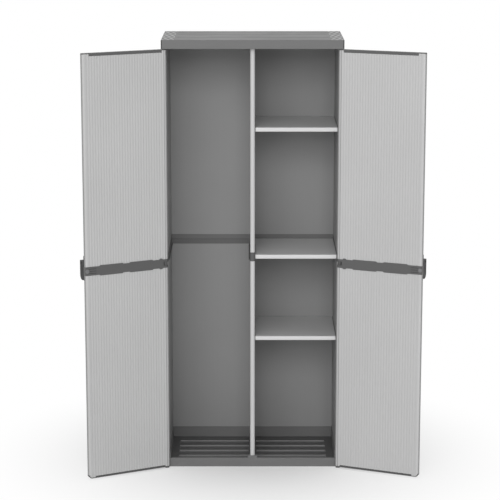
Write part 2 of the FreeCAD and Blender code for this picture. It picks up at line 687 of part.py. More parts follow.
def back_rail():
    """Rail that joins the back panels: an H section with a ridged front face."""
    low = RAIL_CENTRE - RAIL_HEIGHT / 2
    high = RAIL_CENTRE + RAIL_HEIGHT / 2
    web_low = RAIL_CENTRE - JOINT_WEB / 2
    web_high = RAIL_CENTRE + JOINT_WEB / 2
    pocket_front = BACK_FACE - POCKET_GAP
    pocket_back = PANEL_BACK + POCKET_GAP
    face = pocket_front - RAIL_FACE
    rear = pocket_back + JOINT_SKIN
    outline = [(face, low), (face - RAIL_RIDGE, RAIL_CENTRE), (face, high), (pocket_front, high),
               (pocket_front, web_high), (pocket_back, web_high), (pocket_back, high), (rear, high),
               (rear, low), (pocket_back, low), (pocket_back, web_low), (pocket_front, web_low),
               (pocket_front, low), (face, low)]
    reach = SIDE_INNER - POCKET_GAP
    corners = [Vector(-reach, y, z) for y, z in outline]
    return Part.Face(Part.makePolygon(corners)).extrude(Vector(2 * reach, 0, 0))


# Doors, built closed about their hinge axis: X to the free edge, +Y to the inside

def leaf_prism(extra, z0, z1):
    """Block with the plan outline of a door, grown by extra all round."""
    half = LEAF_HALF + extra
    outline = rounded_edges(-half, LEAF_REACH + extra, half, half, EDGE_RADIUS + extra)
    return prism([Part.Wire(outline)], z0, z1)


def across_leaf(edges, extra):
    """Solid from an outline of the door's face, given as X and height, through its thickness."""
    half = LEAF_HALF + extra
    face = Part.Face(Part.Wire(edges))
    solid = face.extrude(Vector(0, 0, 2 * half))
    solid.Placement = Placement(Vector(0, half, 0), Rotation(Vector(1, 0, 0), 90))
    return solid


def cap_inner_edges(edge_z, inward, height, radius):
    """Line between a door panel and its cap, from the hinge edge to the free edge."""
    plate = edge_z + inward * CAP_PLATE
    middle = edge_z + inward * height
    start = CAP_HINGE_INSET - LEAF_HALF
    end = LEAF_REACH - CAP_FREE_INSET
    turn = LEAF_REACH - radius
    rise = edge_z + inward * radius
    edges = polyline([(-LEAF_HALF, plate), (start, plate), (start, middle), (end, middle), (end, plate),
                      (turn, plate)])
    edges.extend(quarter(turn, rise, radius - CAP_PLATE, -90 * inward, 0, False))
    edges.extend(polyline([(LEAF_REACH - CAP_PLATE, rise), (LEAF_REACH, rise)]))
    return edges


def cap_seat(edge_z, inward, height, radius):
    """What a cap takes away from the end of a door panel."""
    beyond = edge_z - inward
    rise = edge_z + inward * radius
    plate = edge_z + inward * CAP_PLATE
    edges = cap_inner_edges(edge_z, inward, height, radius)
    edges.extend(polyline([(LEAF_REACH, rise), (LEAF_REACH + 1, rise), (LEAF_REACH + 1, beyond),
                           (-LEAF_HALF - 1, beyond), (-LEAF_HALF - 1, plate), (-LEAF_HALF, plate)]))
    return across_leaf(edges, 1)


def cap_body(edge_z, inward, height, radius):
    """Outer form of a cap: a thin plate, deeper in the middle, round at the free corner."""
    turn = LEAF_REACH - radius
    edges = cap_inner_edges(edge_z, inward, height, radius)
    edges.append(arc(turn, edge_z + inward * radius, radius, 0, -90 * inward))
    edges.extend(polyline([(turn, edge_z), (-LEAF_HALF, edge_z), (-LEAF_HALF, edge_z + inward * CAP_PLATE)]))
    near, far = sorted((edge_z, edge_z + inward * max(height, radius)))
    return across_leaf(edges, 1).common(leaf_prism(0, near, far))


def cap_tongues(edge_z, inward, height):
    """Tongues that plug the cap into three cells of the panel."""
    tongues = []
    half = LEAF_HALF - PANEL_SKIN - CAP_TONGUE_GAP
    webs = web_places(LEAF_WIDTH, DOOR_THICKNESS, CELL_PITCH)
    half_length = (webs[1] - webs[0] - PANEL_WEB) / 2 - CAP_TONGUE_GAP
    near, far = sorted((edge_z + inward * CAP_WALL, edge_z + inward * (height + CAP_TONGUE)))
    for fraction in (0.25, 0.5, 0.75):
        x = cell_centre(LEAF_WIDTH, DOOR_THICKNESS, CELL_PITCH, fraction) - LEAF_HALF
        tongue = block(x - half_length, x + half_length, -half, half, near, far)
        tongues.append(tongue)
    return tongues


def door_cap(edge_z, inward, height, radius):
    """Cap on one end of a door, with the bore that turns on the hinge pin."""
    body = cap_body(edge_z, inward, height, radius)
    start = CAP_HINGE_INSET - LEAF_HALF + CAP_WALL
    end = LEAF_REACH - CAP_FREE_INSET - CAP_WALL
    inside = LEAF_HALF - CAP_WALL
    near, far = sorted((edge_z + inward * CAP_PLATE, edge_z + inward * height))
    body = body.cut(block(start, end, -inside, inside, near, far))
    depth = PIN_REACH + PIN_BOSS_FLOOR
    near, far = sorted((edge_z, edge_z + inward * (depth + PIN_BOSS_FLOOR)))
    boss = eight_sided(PIN_BOSS_RADIUS, 0, 0, near, far)
    cap = joined([body, boss] + cap_tongues(edge_z, inward, height))
    near, far = sorted((edge_z, edge_z + inward * depth))
    return cap.cut(upright_cylinder(PIN_RADIUS + RUNNING_GAP, 0, 0, near, far))


def band_ends():
    """Where the solid end blocks of the band take the place of the door panels."""
    hinge_end = BAND_END_BLOCK - LEAF_HALF - BAND_SKIN
    free_start = LEAF_REACH - BAND_END_BLOCK
    return hinge_end, free_start


def door_panel(z0, z1, seat):
    """One half of a door leaf: a fluted hollow panel cut back for its cap and for the band."""
    ridges = flute_ridges(LEAF_WIDTH)
    panel = hollow_panel(LEAF_WIDTH, DOOR_THICKNESS, z1 - z0, CELL_PITCH, LEAF_HALF, EDGE_RADIUS,
                         low=ridges, high=ridges)
    panel.translate(Vector(-LEAF_HALF, 0, z0))
    hinge_end, free_start = band_ends()
    low = BAND_CENTRE - BAND_HALF - POCKET_GAP
    high = BAND_CENTRE + BAND_HALF + POCKET_GAP
    across = DOOR_THICKNESS
    hinge_notch = block(-across, hinge_end + POCKET_GAP, -across, across, low, high)
    free_notch = block(free_start - POCKET_GAP, LEAF_REACH + across, -across, across, low, high)
    return panel.cut(seat).cut(hinge_notch).cut(free_notch)


def band_outline():
    """Face outline of the band: narrow, with two wide lengths and a bump near the hinge."""
    steps = [(BAND_BUMP_OFFSET, BAND_BUMP_LENGTH, BAND_BUMP_HALF)]
    for index in range(BAND_WIDE_COUNT):
        steps.append((BAND_WIDE_OFFSET + index * BAND_WIDE_PITCH, BAND_WIDE_LENGTH, BAND_WIDE_HALF))
    upper = [(-DOOR_THICKNESS, BAND_HALF)]
    for start, length, half in steps:
        upper.append((start, BAND_HALF))
        upper.append((start + BAND_SLOPE, half))
        upper.append((start + length - BAND_SLOPE, half))
        upper.append((start + length, BAND_HALF))
    upper.append((LEAF_REACH + BAND_SKIN, BAND_HALF))
    lower = [(x, -half) for x, half in upper[::-1]]
    points = [(x, BAND_CENTRE + half) for x, half in upper + lower]
    return polyline(points + points[:1])


def door_band():
    """Band that joins the two halves of a door, with the middle hinge knuckle."""
    low = BAND_CENTRE - BAND_BUMP_HALF
    high = BAND_CENTRE + BAND_BUMP_HALF
    half = LEAF_HALF + BAND_SKIN
    plan = rounded_edges(-half, LEAF_REACH + BAND_OVERHANG, half, half, EDGE_RADIUS)
    band = prism([Part.Wire(plan)], low, high).common(across_leaf(band_outline(), BAND_SKIN + 1))
    hinge_end, free_start = band_ends()
    pocket = LEAF_HALF + POCKET_GAP / 2
    band = band.cut(block(hinge_end, free_start, -pocket, pocket, low, BAND_CENTRE - BAND_WEB / 2))
    band = band.cut(block(hinge_end, free_start, -pocket, pocket, BAND_CENTRE + BAND_WEB / 2, high))
    slot_half = EAR_LUG_HEIGHT / 2 + HINGE_SIDE_GAP
    band = band.cut(block(-DOOR_THICKNESS, KNUCKLE_SLOT, -half, half,
                          BAND_CENTRE - slot_half, BAND_CENTRE + slot_half))
    band = band.cut(upright_cylinder(MIDDLE_PIN_RADIUS + RUNNING_GAP, 0, 0, low, high))
    return band.cut(screw_hole(SCREW_RADIUS + RUNNING_GAP, half, -half))


def middle_hinge_pins():
    """The two pins through the side joints' lugs and the bands' knuckles."""
    pin = upright_cylinder(MIDDLE_PIN_RADIUS, HINGE_X, HINGE_Y, BAND_CENTRE - BAND_HALF,
                           BAND_CENTRE + BAND_HALF)
    return Part.makeCompound([pin, mirrored(pin)])


# Handles

def handle_edges():
    """Hinge side and free side of the handle's blade."""
    free_side = LEAF_REACH - HANDLE_INSET
    return free_side - HANDLE_BLADE, free_side


def screw_hole(radius, y_inside, y_outside):
    """Bore from the inside of the door towards the handle."""
    near, far = handle_edges()
    return Part.makeCylinder(radius, y_inside - y_outside, Vector((near + far) / 2, y_inside, BAND_CENTRE),
                             Vector(0, -1, 0))


def handle_blade():
    """Grip: a flat top, a straight front and a round bottom, hollowed for the fingers."""
    near, far = handle_edges()
    root = -LEAF_HALF - BAND_SKIN
    front = root - HANDLE_REACH
    half = HANDLE_REACH / 2
    edges = polyline([(-root, HANDLE_BOTTOM + half), (-root, HANDLE_TOP),
                      (-front - HANDLE_CORNER, HANDLE_TOP)])
    edges.extend(quarter(-front - HANDLE_CORNER, HANDLE_TOP - HANDLE_CORNER, HANDLE_CORNER, 90, 0))
    edges.extend(polyline([(-front, HANDLE_TOP - HANDLE_CORNER), (-front, HANDLE_BOTTOM + half)]))
    edges.append(arc(-root + half, HANDLE_BOTTOM + half, half, 0, -180))
    blade = Part.Face(Part.Wire(edges)).extrude(Vector(0, 0, HANDLE_BLADE))
    blade.Placement = Placement(Matrix(0, 0, -1, far, -1, 0, 0, 0, 0, 1, 0, 0))
    scoop_y = root - half - FLANGE_THICKNESS / 2
    scoop = upright_cylinder(SCOOP_RADIUS, near + SCOOP_DEPTH - SCOOP_RADIUS, scoop_y,
                             HANDLE_BOTTOM + half, HANDLE_TOP - 2 * EYE_INSET)
    eye = Part.makeCylinder(EYE_RADIUS, HANDLE_BLADE, Vector(near, front + EYE_INSET, HANDLE_TOP - EYE_INSET),
                            Vector(1, 0, 0))
    return blade.cut(scoop).cut(eye)


def door_handle():
    """Handle: a flange on the band, pads that fill down to the panel, and the blade."""
    near, far = handle_edges()
    root = -LEAF_HALF - BAND_SKIN
    flange_near = far - FLANGE_WIDTH
    flange_top = HANDLE_TOP + FLANGE_RISE
    middle = (HANDLE_BOTTOM + flange_top) / 2
    plate = rounded_edges(flange_near, far, (flange_top - HANDLE_BOTTOM) / 2, FLANGE_CORNER, FLANGE_CORNER)
    flange = Part.Face(Part.Wire(plate)).extrude(Vector(0, 0, FLANGE_THICKNESS))
    flange.Placement = Placement(Vector(0, root, middle), Rotation(Vector(1, 0, 0), 90))
    inset = FLANGE_CORNER / 2
    high_pad = block(flange_near + inset, far - inset, root - 1, -LEAF_HALF,
                     BAND_CENTRE + BAND_HALF + HINGE_SIDE_GAP, flange_top - FLANGE_CORNER)
    low_pad = block(flange_near + inset, far - inset, root - 1, -LEAF_HALF, HANDLE_BOTTOM + FLANGE_CORNER / 2,
                    BAND_CENTRE - BAND_HALF - HINGE_SIDE_GAP)
    handle = joined([flange, high_pad, low_pad, handle_blade()])
    return handle.cut(screw_hole(SCREW_RADIUS, root, root - SCREW_BITE))


def handle_screw():
    """Screw from the inside of the band into the handle."""
    head_seat = LEAF_HALF + BAND_SKIN
    shank = screw_hole(SCREW_RADIUS, head_seat, -head_seat - SCREW_BITE)
    near, far = handle_edges()
    outline = polygon((near + far) / 2, BAND_CENTRE, SCREW_HEAD_RADIUS, 6)
    corners = [Vector(x, head_seat, z) for x, z in outline]
    head = Part.Face(Part.makePolygon(corners)).extrude(Vector(0, SCREW_HEAD, 0))
    return joined([head, shank])


def door_pieces():
    """Every piece of one door, closed about its hinge axis, under its plain name."""
    top_seat = cap_seat(DOOR_TOP, -1, TOP_CAP_HEIGHT, TOP_CORNER_RADIUS)
    bottom_seat = cap_seat(DOOR_BOTTOM, 1, BOTTOM_CAP_HEIGHT, BOTTOM_CORNER_RADIUS)
    return {
        "door_panel_upper": door_panel(BAND_CENTRE + BAND_WEB / 2, DOOR_TOP, top_seat),
        "door_panel_lower": door_panel(DOOR_BOTTOM, BAND_CENTRE - BAND_WEB / 2, bottom_seat),
        "door_top_cap": door_cap(DOOR_TOP, -1, TOP_CAP_HEIGHT, TOP_CORNER_RADIUS),
        "door_bottom_cap": door_cap(DOOR_BOTTOM, 1, BOTTOM_CAP_HEIGHT, BOTTOM_CORNER_RADIUS),
        "door_band": door_band(),
        "door_handle": door_handle(),
        "handle_screw": handle_screw(),
    }


def hung(piece, opening):
    """A piece of the left door, hung on its axis and swung open by an angle."""
    placed = piece.copy()
    placed.rotate(Vector(0, 0, 0), Vector(0, 0, 1), -opening)
    placed.translate(Vector(-HINGE_X, HINGE_Y, 0))
    return placed


def save(shape, name):
    """Write one sub-part and report whether it is sound."""
    volumes = [round(solid.Volume / 1000, 1) for solid in shape.Solids]
    print(name, "solids", len(shape.Solids), "valid", shape.isValid(), "cm3", volumes)
    shape.exportStep("parts/" + name + ".step")


def main():
    """Build and save every sub-part."""
    os.makedirs("parts", exist_ok=True)
    web = JOINT_WEB / 2
    lower_side = side_panel(FLOOR_HEIGHT, JOINT_CENTRE - web, LOWER_SHELF_TOP)
    upper_side = side_panel(JOINT_CENTRE + web, COVER_CEILING, UPPER_SHELF_TOP)
    save(make_base(), "base")
    save(make_cover(), "cover")
    save(lower_side, "side_panel_lower_right")
    save(upper_side, "side_panel_upper_right")
    save(mirrored(side_panel(FLOOR_HEIGHT, JOINT_CENTRE - web, None)), "side_panel_lower_left")
    save(mirrored(side_panel(JOINT_CENTRE + web, COVER_CEILING, None)), "side_panel_upper_left")
    save(side_joint(), "side_joint_right")
    save(mirrored(side_joint()), "side_joint_left")
    save(back_panel(FLOOR_HEIGHT, RAIL_CENTRE - web), "back_panel_lower")
    save(back_panel(RAIL_CENTRE + web, COVER_CEILING), "back_panel_upper")
    save(back_rail(), "back_rail")
    save(divider_panel(FLOOR_HEIGHT, JOINT_CENTRE - web, LOWER_SHELF_TOP), "divider_lower")
    save(divider_panel(JOINT_CENTRE + web, COVER_CEILING, UPPER_SHELF_TOP), "divider_upper")
    save(divider_joint(), "divider_joint")
    save(shelf(UPPER_SHELF_TOP), "shelf_upper")
    save(shelf(MIDDLE_SHELF_TOP), "shelf_middle")
    save(shelf(LOWER_SHELF_TOP), "shelf_lower")
    save(shelf_pegs(UPPER_SHELF_TOP), "shelf_pegs_upper")
    save(shelf_pegs(LOWER_SHELF_TOP), "shelf_pegs_lower")
    save(top_hinge_pins(), "hinge_pins_top")
    save(middle_hinge_pins(), "hinge_pins_middle")
    for name, piece in door_pieces().items():
        save(hung(piece, LEFT_DOOR_OPEN), name + "_left")
        save(mirrored(hung(piece, RIGHT_DOOR_OPEN)), name + "_right")


main()
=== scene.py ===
"""Garden storage cabinet with two open doors: its finishes, ribbed boards, moulded trim and studio."""
import json
import logging
import math
from collections.abc import Callable
from dataclasses import dataclass, field
from enum import Enum

import bmesh
import bpy
import numpy as np
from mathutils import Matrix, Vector

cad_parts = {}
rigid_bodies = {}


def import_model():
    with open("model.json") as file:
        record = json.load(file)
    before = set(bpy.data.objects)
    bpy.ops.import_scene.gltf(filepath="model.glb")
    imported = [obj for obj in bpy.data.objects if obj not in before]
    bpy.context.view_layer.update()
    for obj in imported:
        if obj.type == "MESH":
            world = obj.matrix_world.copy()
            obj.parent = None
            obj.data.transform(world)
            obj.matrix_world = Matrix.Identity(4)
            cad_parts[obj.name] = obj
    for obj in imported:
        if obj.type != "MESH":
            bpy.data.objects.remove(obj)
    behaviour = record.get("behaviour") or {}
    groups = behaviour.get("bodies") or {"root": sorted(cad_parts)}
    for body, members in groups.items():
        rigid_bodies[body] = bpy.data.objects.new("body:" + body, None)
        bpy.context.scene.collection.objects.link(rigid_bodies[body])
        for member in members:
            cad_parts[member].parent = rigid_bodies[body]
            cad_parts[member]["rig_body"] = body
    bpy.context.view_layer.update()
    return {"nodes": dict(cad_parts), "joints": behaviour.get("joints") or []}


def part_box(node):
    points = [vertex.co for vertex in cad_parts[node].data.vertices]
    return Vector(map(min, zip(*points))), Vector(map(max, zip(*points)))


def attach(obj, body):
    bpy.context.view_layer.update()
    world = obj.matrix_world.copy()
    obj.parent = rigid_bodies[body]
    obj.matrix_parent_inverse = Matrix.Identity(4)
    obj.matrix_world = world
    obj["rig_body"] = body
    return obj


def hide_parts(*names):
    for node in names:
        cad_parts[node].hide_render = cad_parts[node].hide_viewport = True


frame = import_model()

LOG = logging.getLogger("cabinet")
MM = 0.001                # one millimetre, in metres
PAINTED_LIGHT = "shade"           # attribute of painted light and shade that makes parts of a piece darker or lighter
NOISE_SPAN = (0.3, 0.7)   # where most values of the noise lie
STRIP_BLEND = 0.3 * MM    # half the width over which the painted highlight of a front strip fades out
MERGE = 0.001 * MM        # points of a new skin that lie closer than this are one
CAD_MERGE = 0.002 * MM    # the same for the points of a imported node
NEAR = 0.1 * MM           # a point this close to a plane lies on it
ASLANT = 0.1              # least part of a normal along an axis that counts
FACING = 0.5              # least part of a normal to the front of a face that looks there
UPWARD = 0.9              # least part of a normal upwards of a level face
FLAT_TURN = 1.0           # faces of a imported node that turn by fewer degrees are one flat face
SOFT_TURN = 35.0          # edges that turn by fewer degrees shade smoothly and aren't rounded

Array = np.ndarray
Pair = tuple[Array, Array]
Span = tuple[float, float]
Triple = tuple[float, float, float]
Socket = bpy.types.NodeSocket


class Slot(Enum):
    """Material slots of the part."""

    PANEL = "panel_grey"
    BACK = "back_grey"
    FRAME = "frame_grey"
    HANDLE = "handle_grey"
    STEEL = "pin_steel"


class Side(Enum):
    """The two sides of the cabinet, seen from the front, as the sign of X."""

    LEFT = -1
    RIGHT = 1

    @property
    def word(self) -> str:
        """The side's name in the names of its pieces."""
        return self.name.lower()


class Draw(Enum):
    """Axis along which a board was extruded: 0 is X and 2 is Z."""

    SIDEWAYS = 0
    UPRIGHT = 2


class Ribs(Enum):
    """Faces of a board that carry fine ribs, as a low and a high share of their depth."""

    NONE = (0.0, 0.0)
    LOW = (1.0, 0.0)
    HIGH = (0.0, 1.0)
    BOTH = (1.0, 1.0)


class Tree:
    """Node tree of a material or a world, with short calls to add and link its nodes."""

    def __init__(self, owner: bpy.types.Material | bpy.types.World) -> None:
        """Switch on the owner's nodes.

        Args:
            owner: A new material or world.
        """
        owner.use_nodes = True
        self.nodes = owner.node_tree.nodes
        self.links = owner.node_tree.links

    def add(self, kind: str, inputs: dict[str | int, Socket | Triple | float],
            **options: str) -> bpy.types.Node:
        """Add a node.

        Args:
            kind: The node's type.
            inputs: The socket that feeds each input, or the value that it holds.
            options: Settings of the node.

        Returns:
            The node.
        """
        node = self.nodes.new(kind)
        for name, option in options.items():
            setattr(node, name, option)
        for key, value in inputs.items():
            if isinstance(value, Socket):
                self.links.new(value, node.inputs[key])
            else:
                node.inputs[key].default_value = value
        return node

    def ranged(self, value: Socket, old: Span, new: Span, **options: str) -> Socket:
        """A value moved from one span onto another, and held at its ends."""
        inputs = {"Value": value, "From Min": old[0], "From Max": old[1], "To Min": new[0], "To Max": new[1]}
        return self.add("ShaderNodeMapRange", inputs, **options).outputs["Result"]

    def times(self, first: Socket, second: Socket) -> Socket:
        """Product of two values."""
        return self.add("ShaderNodeMath", {0: first, 1: second}, operation="MULTIPLY").outputs["Value"]

    def seen(self) -> Socket:
        """1 for what the camera sees, straight, mirrored or through something, and 0 for other light.

        Returns:
            The value.
        """
        path = self.nodes.new("ShaderNodeLightPath")
        value = path.outputs["Is Camera Ray"]
        for word in ("Is Glossy Ray", "Is Transmission Ray"):
            either = self.add("ShaderNodeMath", {0: value, 1: path.outputs[word]}, operation="MAXIMUM")
            value = either.outputs["Value"]
        return value


class Graph(Tree):
    """Node tree of one material, with short calls for what its finish needs."""

    def __init__(self, name: str) -> None:
        """Start a material that holds one Principled shader.

        Args:
            name: The material's name.
        """
        self.material = bpy.data.materials.new(name)
        super().__init__(self.material)
        self.shader = self.nodes["Principled BSDF"]
        self.place = self.nodes.new("ShaderNodeTexCoord").outputs["Object"]

    def stretched(self, scale: Triple) -> Socket:
        """Object coordinates, scaled to so many pattern cells per metre along X, Y and Z."""
        return self.add("ShaderNodeMapping", {"Scale": scale, "Vector": self.place}).outputs["Vector"]

    def noise(self, scale: Triple, detail: float) -> Socket:
        """Soft noise between 0 and 1, with so many cells per metre and so many octaves of detail."""
        inputs = {"Scale": 1.0, "Detail": detail, "Vector": self.stretched(scale)}
        return self.add("ShaderNodeTexNoise", inputs).outputs["Fac"]

    def spread(self, value: Socket, tones: Span) -> Socket:
        """A noise value moved from its usual span onto the span of the tones."""
        return self.ranged(value, NOISE_SPAN, tones)

    def front_strip(self, end: float, factor: float) -> Socket:
        """Painted highlight: a factor on the front of the piece, as far back as the Y of its end, and 1
        behind it.
        """
        axes = self.add("ShaderNodeSeparateXYZ", {"Vector": self.place})
        return self.ranged(axes.outputs["Y"], (end - STRIP_BLEND, end + STRIP_BLEND), (factor, 1.0))

    def coloured(self, tint: Triple, tone: Socket, shaded: bool = False) -> None:
        """Feed a tint, varied by a tone, to the shader's colour.

        Args:
            tint: Red, green and blue.
            tone: Factor close to 1 that varies over the piece.
            shaded: Whether the piece has an attribute of painted light and shade that makes parts of it
                darker or lighter.
        """
        if shaded:
            shade = self.add("ShaderNodeAttribute", {}, attribute_name=PAINTED_LIGHT)
            tone = self.times(tone, shade.outputs["Fac"])
        colour = self.add("ShaderNodeVectorMath", {0: tint, "Scale": tone}, operation="SCALE")
        self.links.new(colour.outputs["Vector"], self.shader.inputs["Base Color"])

    def rough(self, value: Socket, middle: float, swing: float) -> None:
        """Vary the shader's roughness with a noise value, by the swing to each side of the middle."""
        roughness = self.spread(value, (middle - swing, middle + swing))
        self.links.new(roughness, self.shader.inputs["Roughness"])

    def relief(self, *heights: tuple[Socket, float]) -> None:
        """Feed bumps, one on the other, to the shader's normal.

        Args:
            heights: Pairs of a height between 0 and 1 and what 1 stands for, in metres.
        """
        below = {}
        for height, depth in heights:
            bump = self.add("ShaderNodeBump", {"Strength": 1.0, "Distance": depth, "Height": height, **below})
            below = {"Normal": bump.outputs["Normal"]}
        self.links.new(below["Normal"], self.shader.inputs["Normal"])


@dataclass(frozen=True)
class Extruded:
    """Extruded plastic: faint streaks along the draw, a soft cloudiness and a fine matt grain."""

    name: str
    slot: Slot
    grey: float
    draw: Draw
    front_tint: float = 1.0
    front_end: float = 0.0
    shaded: bool = False
    roughness: float = 0.42
    roughness_swing: float = 0.05
    sheen_level: float = 0.5
    streaks_per_metre: float = 420.0
    streaks_along: float = 1.5
    streak_tones: Span = (0.985, 1.015)
    streak_relief: float = 0.02 * MM
    clouds_per_metre: float = 3.0
    cloud_tones: Span = (0.98, 1.02)
    grain_per_metre: float = 1500.0
    grain_relief: float = 0.012 * MM

    def material(self) -> bpy.types.Material:
        """Build the finish.

        Returns:
            The finished material.
        """
        graph = Graph(self.name)
        cells = [self.streaks_per_metre] * 3
        cells[self.draw.value] = self.streaks_along
        streak = graph.noise(tuple(cells), detail=3.0)
        cloud = graph.noise((self.clouds_per_metre,) * 3, detail=2.0)
        tone = graph.times(graph.spread(streak, self.streak_tones), graph.spread(cloud, self.cloud_tones))
        # painted highlight: a lighter front strip stands for the light on the board's round front edge
        if self.front_tint != 1.0:
            tone = graph.times(tone, graph.front_strip(self.front_end, self.front_tint))
        graph.coloured((self.grey,) * 3, tone, self.shaded)
        graph.rough(streak, self.roughness, self.roughness_swing)
        graph.shader.inputs["Specular IOR Level"].default_value = self.sheen_level
        grain = graph.noise((self.grain_per_metre,) * 3, detail=1.0)
        graph.relief((streak, self.streak_relief), (grain, self.grain_relief))
        return graph.material


@dataclass(frozen=True)
class Moulded:
    """Injection-moulded plastic: a pebbled grain whose lighter pebbles are partly a painted sheen, and faint
    flow marks.
    """

    name: str
    slot: Slot
    grey: float
    shaded: bool = False
    roughness: float = 0.5
    roughness_swing: float = 0.06
    sheen_level: float = 0.4
    pebbles_per_metre: float = 700.0
    pebble_tones: Span = (1.02, 0.97)
    pebble_relief: float = 0.05 * MM
    flow_per_metre: Triple = (9.0, 14.0, 30.0)
    flow_tones: Span = (0.97, 1.03)

    def material(self) -> bpy.types.Material:
        """Build the finish.

        Returns:
            The finished material.
        """
        graph = Graph(self.name)
        inputs = {"Scale": 1.0, "Vector": graph.stretched((self.pebbles_per_metre,) * 3)}
        pebble = graph.add("ShaderNodeTexVoronoi", inputs, feature="SMOOTH_F1").outputs["Distance"]
        flow = graph.noise(self.flow_per_metre, detail=3.0)
        tone = graph.times(graph.spread(pebble, self.pebble_tones), graph.spread(flow, self.flow_tones))
        graph.coloured((self.grey,) * 3, tone, self.shaded)
        graph.rough(flow, self.roughness, self.roughness_swing)
        graph.shader.inputs["Specular IOR Level"].default_value = self.sheen_level
        graph.relief((pebble, self.pebble_relief))
        return graph.material


@dataclass(frozen=True)
class PlatedSteel:
    """Dull plated steel, with a faint spangle and fine turning marks."""

    name: str
    slot: Slot
    tint: Triple
    roughness: float = 0.42
    roughness_swing: float = 0.08
    spangles_per_metre: float = 900.0
    spangle_tones: Span = (0.9, 1.08)
    marks_per_metre: Triple = (80.0, 80.0, 6000.0)
    mark_relief: float = 0.01 * MM

    def material(self) -> bpy.types.Material:
        """Build the finish.

        Returns:
            The finished material.
        """
        graph = Graph(self.name)
        spangle = graph.noise((self.spangles_per_metre,) * 3, detail=2.0)
        marks = graph.noise(self.marks_per_metre, detail=1.0)
        graph.coloured(self.tint, graph.spread(spangle, self.spangle_tones))
        graph.rough(spangle, self.roughness, self.roughness_swing)
        graph.shader.inputs["Metallic"].default_value = 1.0
        graph.relief((marks, self.mark_relief))
        return graph.material


Finish = Extruded | Moulded | PlatedSteel
FaceShader = Callable[[Array, Array], Array]
PointMover = Callable[[Array], Array]


def unmoved(places: Array) -> Array:
    """The same places."""
    return places


def plain_faces(centres: Array, normals: Array) -> Array:
    """The plain shade, 1, for every face."""
    return np.ones(len(centres))


def stacked(x: Array, y: Array | float, z: Array | float) -> Array:
    """Points of grids of X, Y and Z, one in each row; a single number holds for the whole grid."""
    return np.stack(np.broadcast_arrays(x, y, z), axis=-1).reshape(-1, 3)


def vectors(items: bpy.types.bpy_prop_collection, name: str) -> Array:
    """One vector of each vertex or face of a mesh.

    Args:
        items: The mesh's vertices or polygons.
        name: The vector's name.

    Returns:
        The vectors, in rows.
    """
    flat = np.empty(len(items) * 3, np.float32)
    items.foreach_get(name, flat)
    return flat.reshape(-1, 3)


def turned(x: Array, y: Array, angle: float) -> Pair:
    """X and Y turned about the origin: x cos(a) - y sin(a) and x sin(a) + y cos(a)."""
    cos, sin = math.cos(angle), math.sin(angle)
    return x * cos - y * sin, x * sin + y * cos


def linked(name: str, data: bpy.types.ID) -> bpy.types.Object:
    """Make an object of the scene.

    Args:
        name: The object's name.
        data: Its mesh, camera or light.

    Returns:
        The object.
    """
    made = bpy.data.objects.new(name, data)
    bpy.context.scene.collection.objects.link(made)
    return made


@dataclass
class Palette:
    """Every finish of the cabinet, each made into a material once."""

    door: Extruded = Extruded("panel_grey_doors", Slot.PANEL, 0.51, Draw.UPRIGHT, shaded=True)
    # painted highlight: the shelves' and the divider's front strips are lighter to stand for the light on
    # their round front edges
    shelf: Extruded = Extruded("panel_grey_shelves", Slot.PANEL, 0.50, Draw.SIDEWAYS,
                               front_tint=1.36, front_end=-155.0 * MM)
    divider: Extruded = Extruded("panel_grey_divider", Slot.PANEL, 0.51, Draw.UPRIGHT,
                                 front_tint=1.18, front_end=-158.0 * MM)
    # painted shade: the side and back boards take a darker grey that stands in for the shade inside the
    # cabinet
    side: Extruded = Extruded("side_grey", Slot.BACK, 0.281, Draw.UPRIGHT, roughness=0.5)
    back: Extruded = Extruded("back_grey", Slot.BACK, 0.275, Draw.UPRIGHT, roughness=0.55)
    frame: Moulded = Moulded("frame_grey", Slot.FRAME, 0.1556, shaded=True)
    # painted shade: the back rail takes a darker copy of the frame grey for the shade at the back of the
    # cabinet
    rail: Moulded = Moulded("frame_grey_rail", Slot.FRAME, 0.1284, shaded=True)
    trim: Moulded = Moulded("frame_grey_trim", Slot.FRAME, 0.100)
    grip: Moulded = Moulded("frame_grey_grip", Slot.FRAME, 0.31, shaded=True, roughness=0.6)
    # painted shade: the doors' bottom caps take a darker copy of the trim grey for the shade on them
    foot: Moulded = Moulded("frame_grey_foot", Slot.FRAME, 0.075)
    # painted shade: near-black fine ribs on the bands stand in for the shade of dark lines there
    rib: Moulded = Moulded("frame_grey_rib", Slot.FRAME, 0.045)
    handle: Moulded = Moulded("handle_grey", Slot.HANDLE, 0.028, sheen_level=0.2)
    steel: PlatedSteel = PlatedSteel("plated_steel", Slot.STEEL, (0.22, 0.22, 0.23))
    made: dict[str, bpy.types.Material] = field(default_factory=dict)

    def material(self, finish: Finish) -> bpy.types.Material:
        """Material of a finish, made when it is first asked for."""
        if finish.name not in self.made:
            self.made[finish.name] = finish.material()
        return self.made[finish.name]


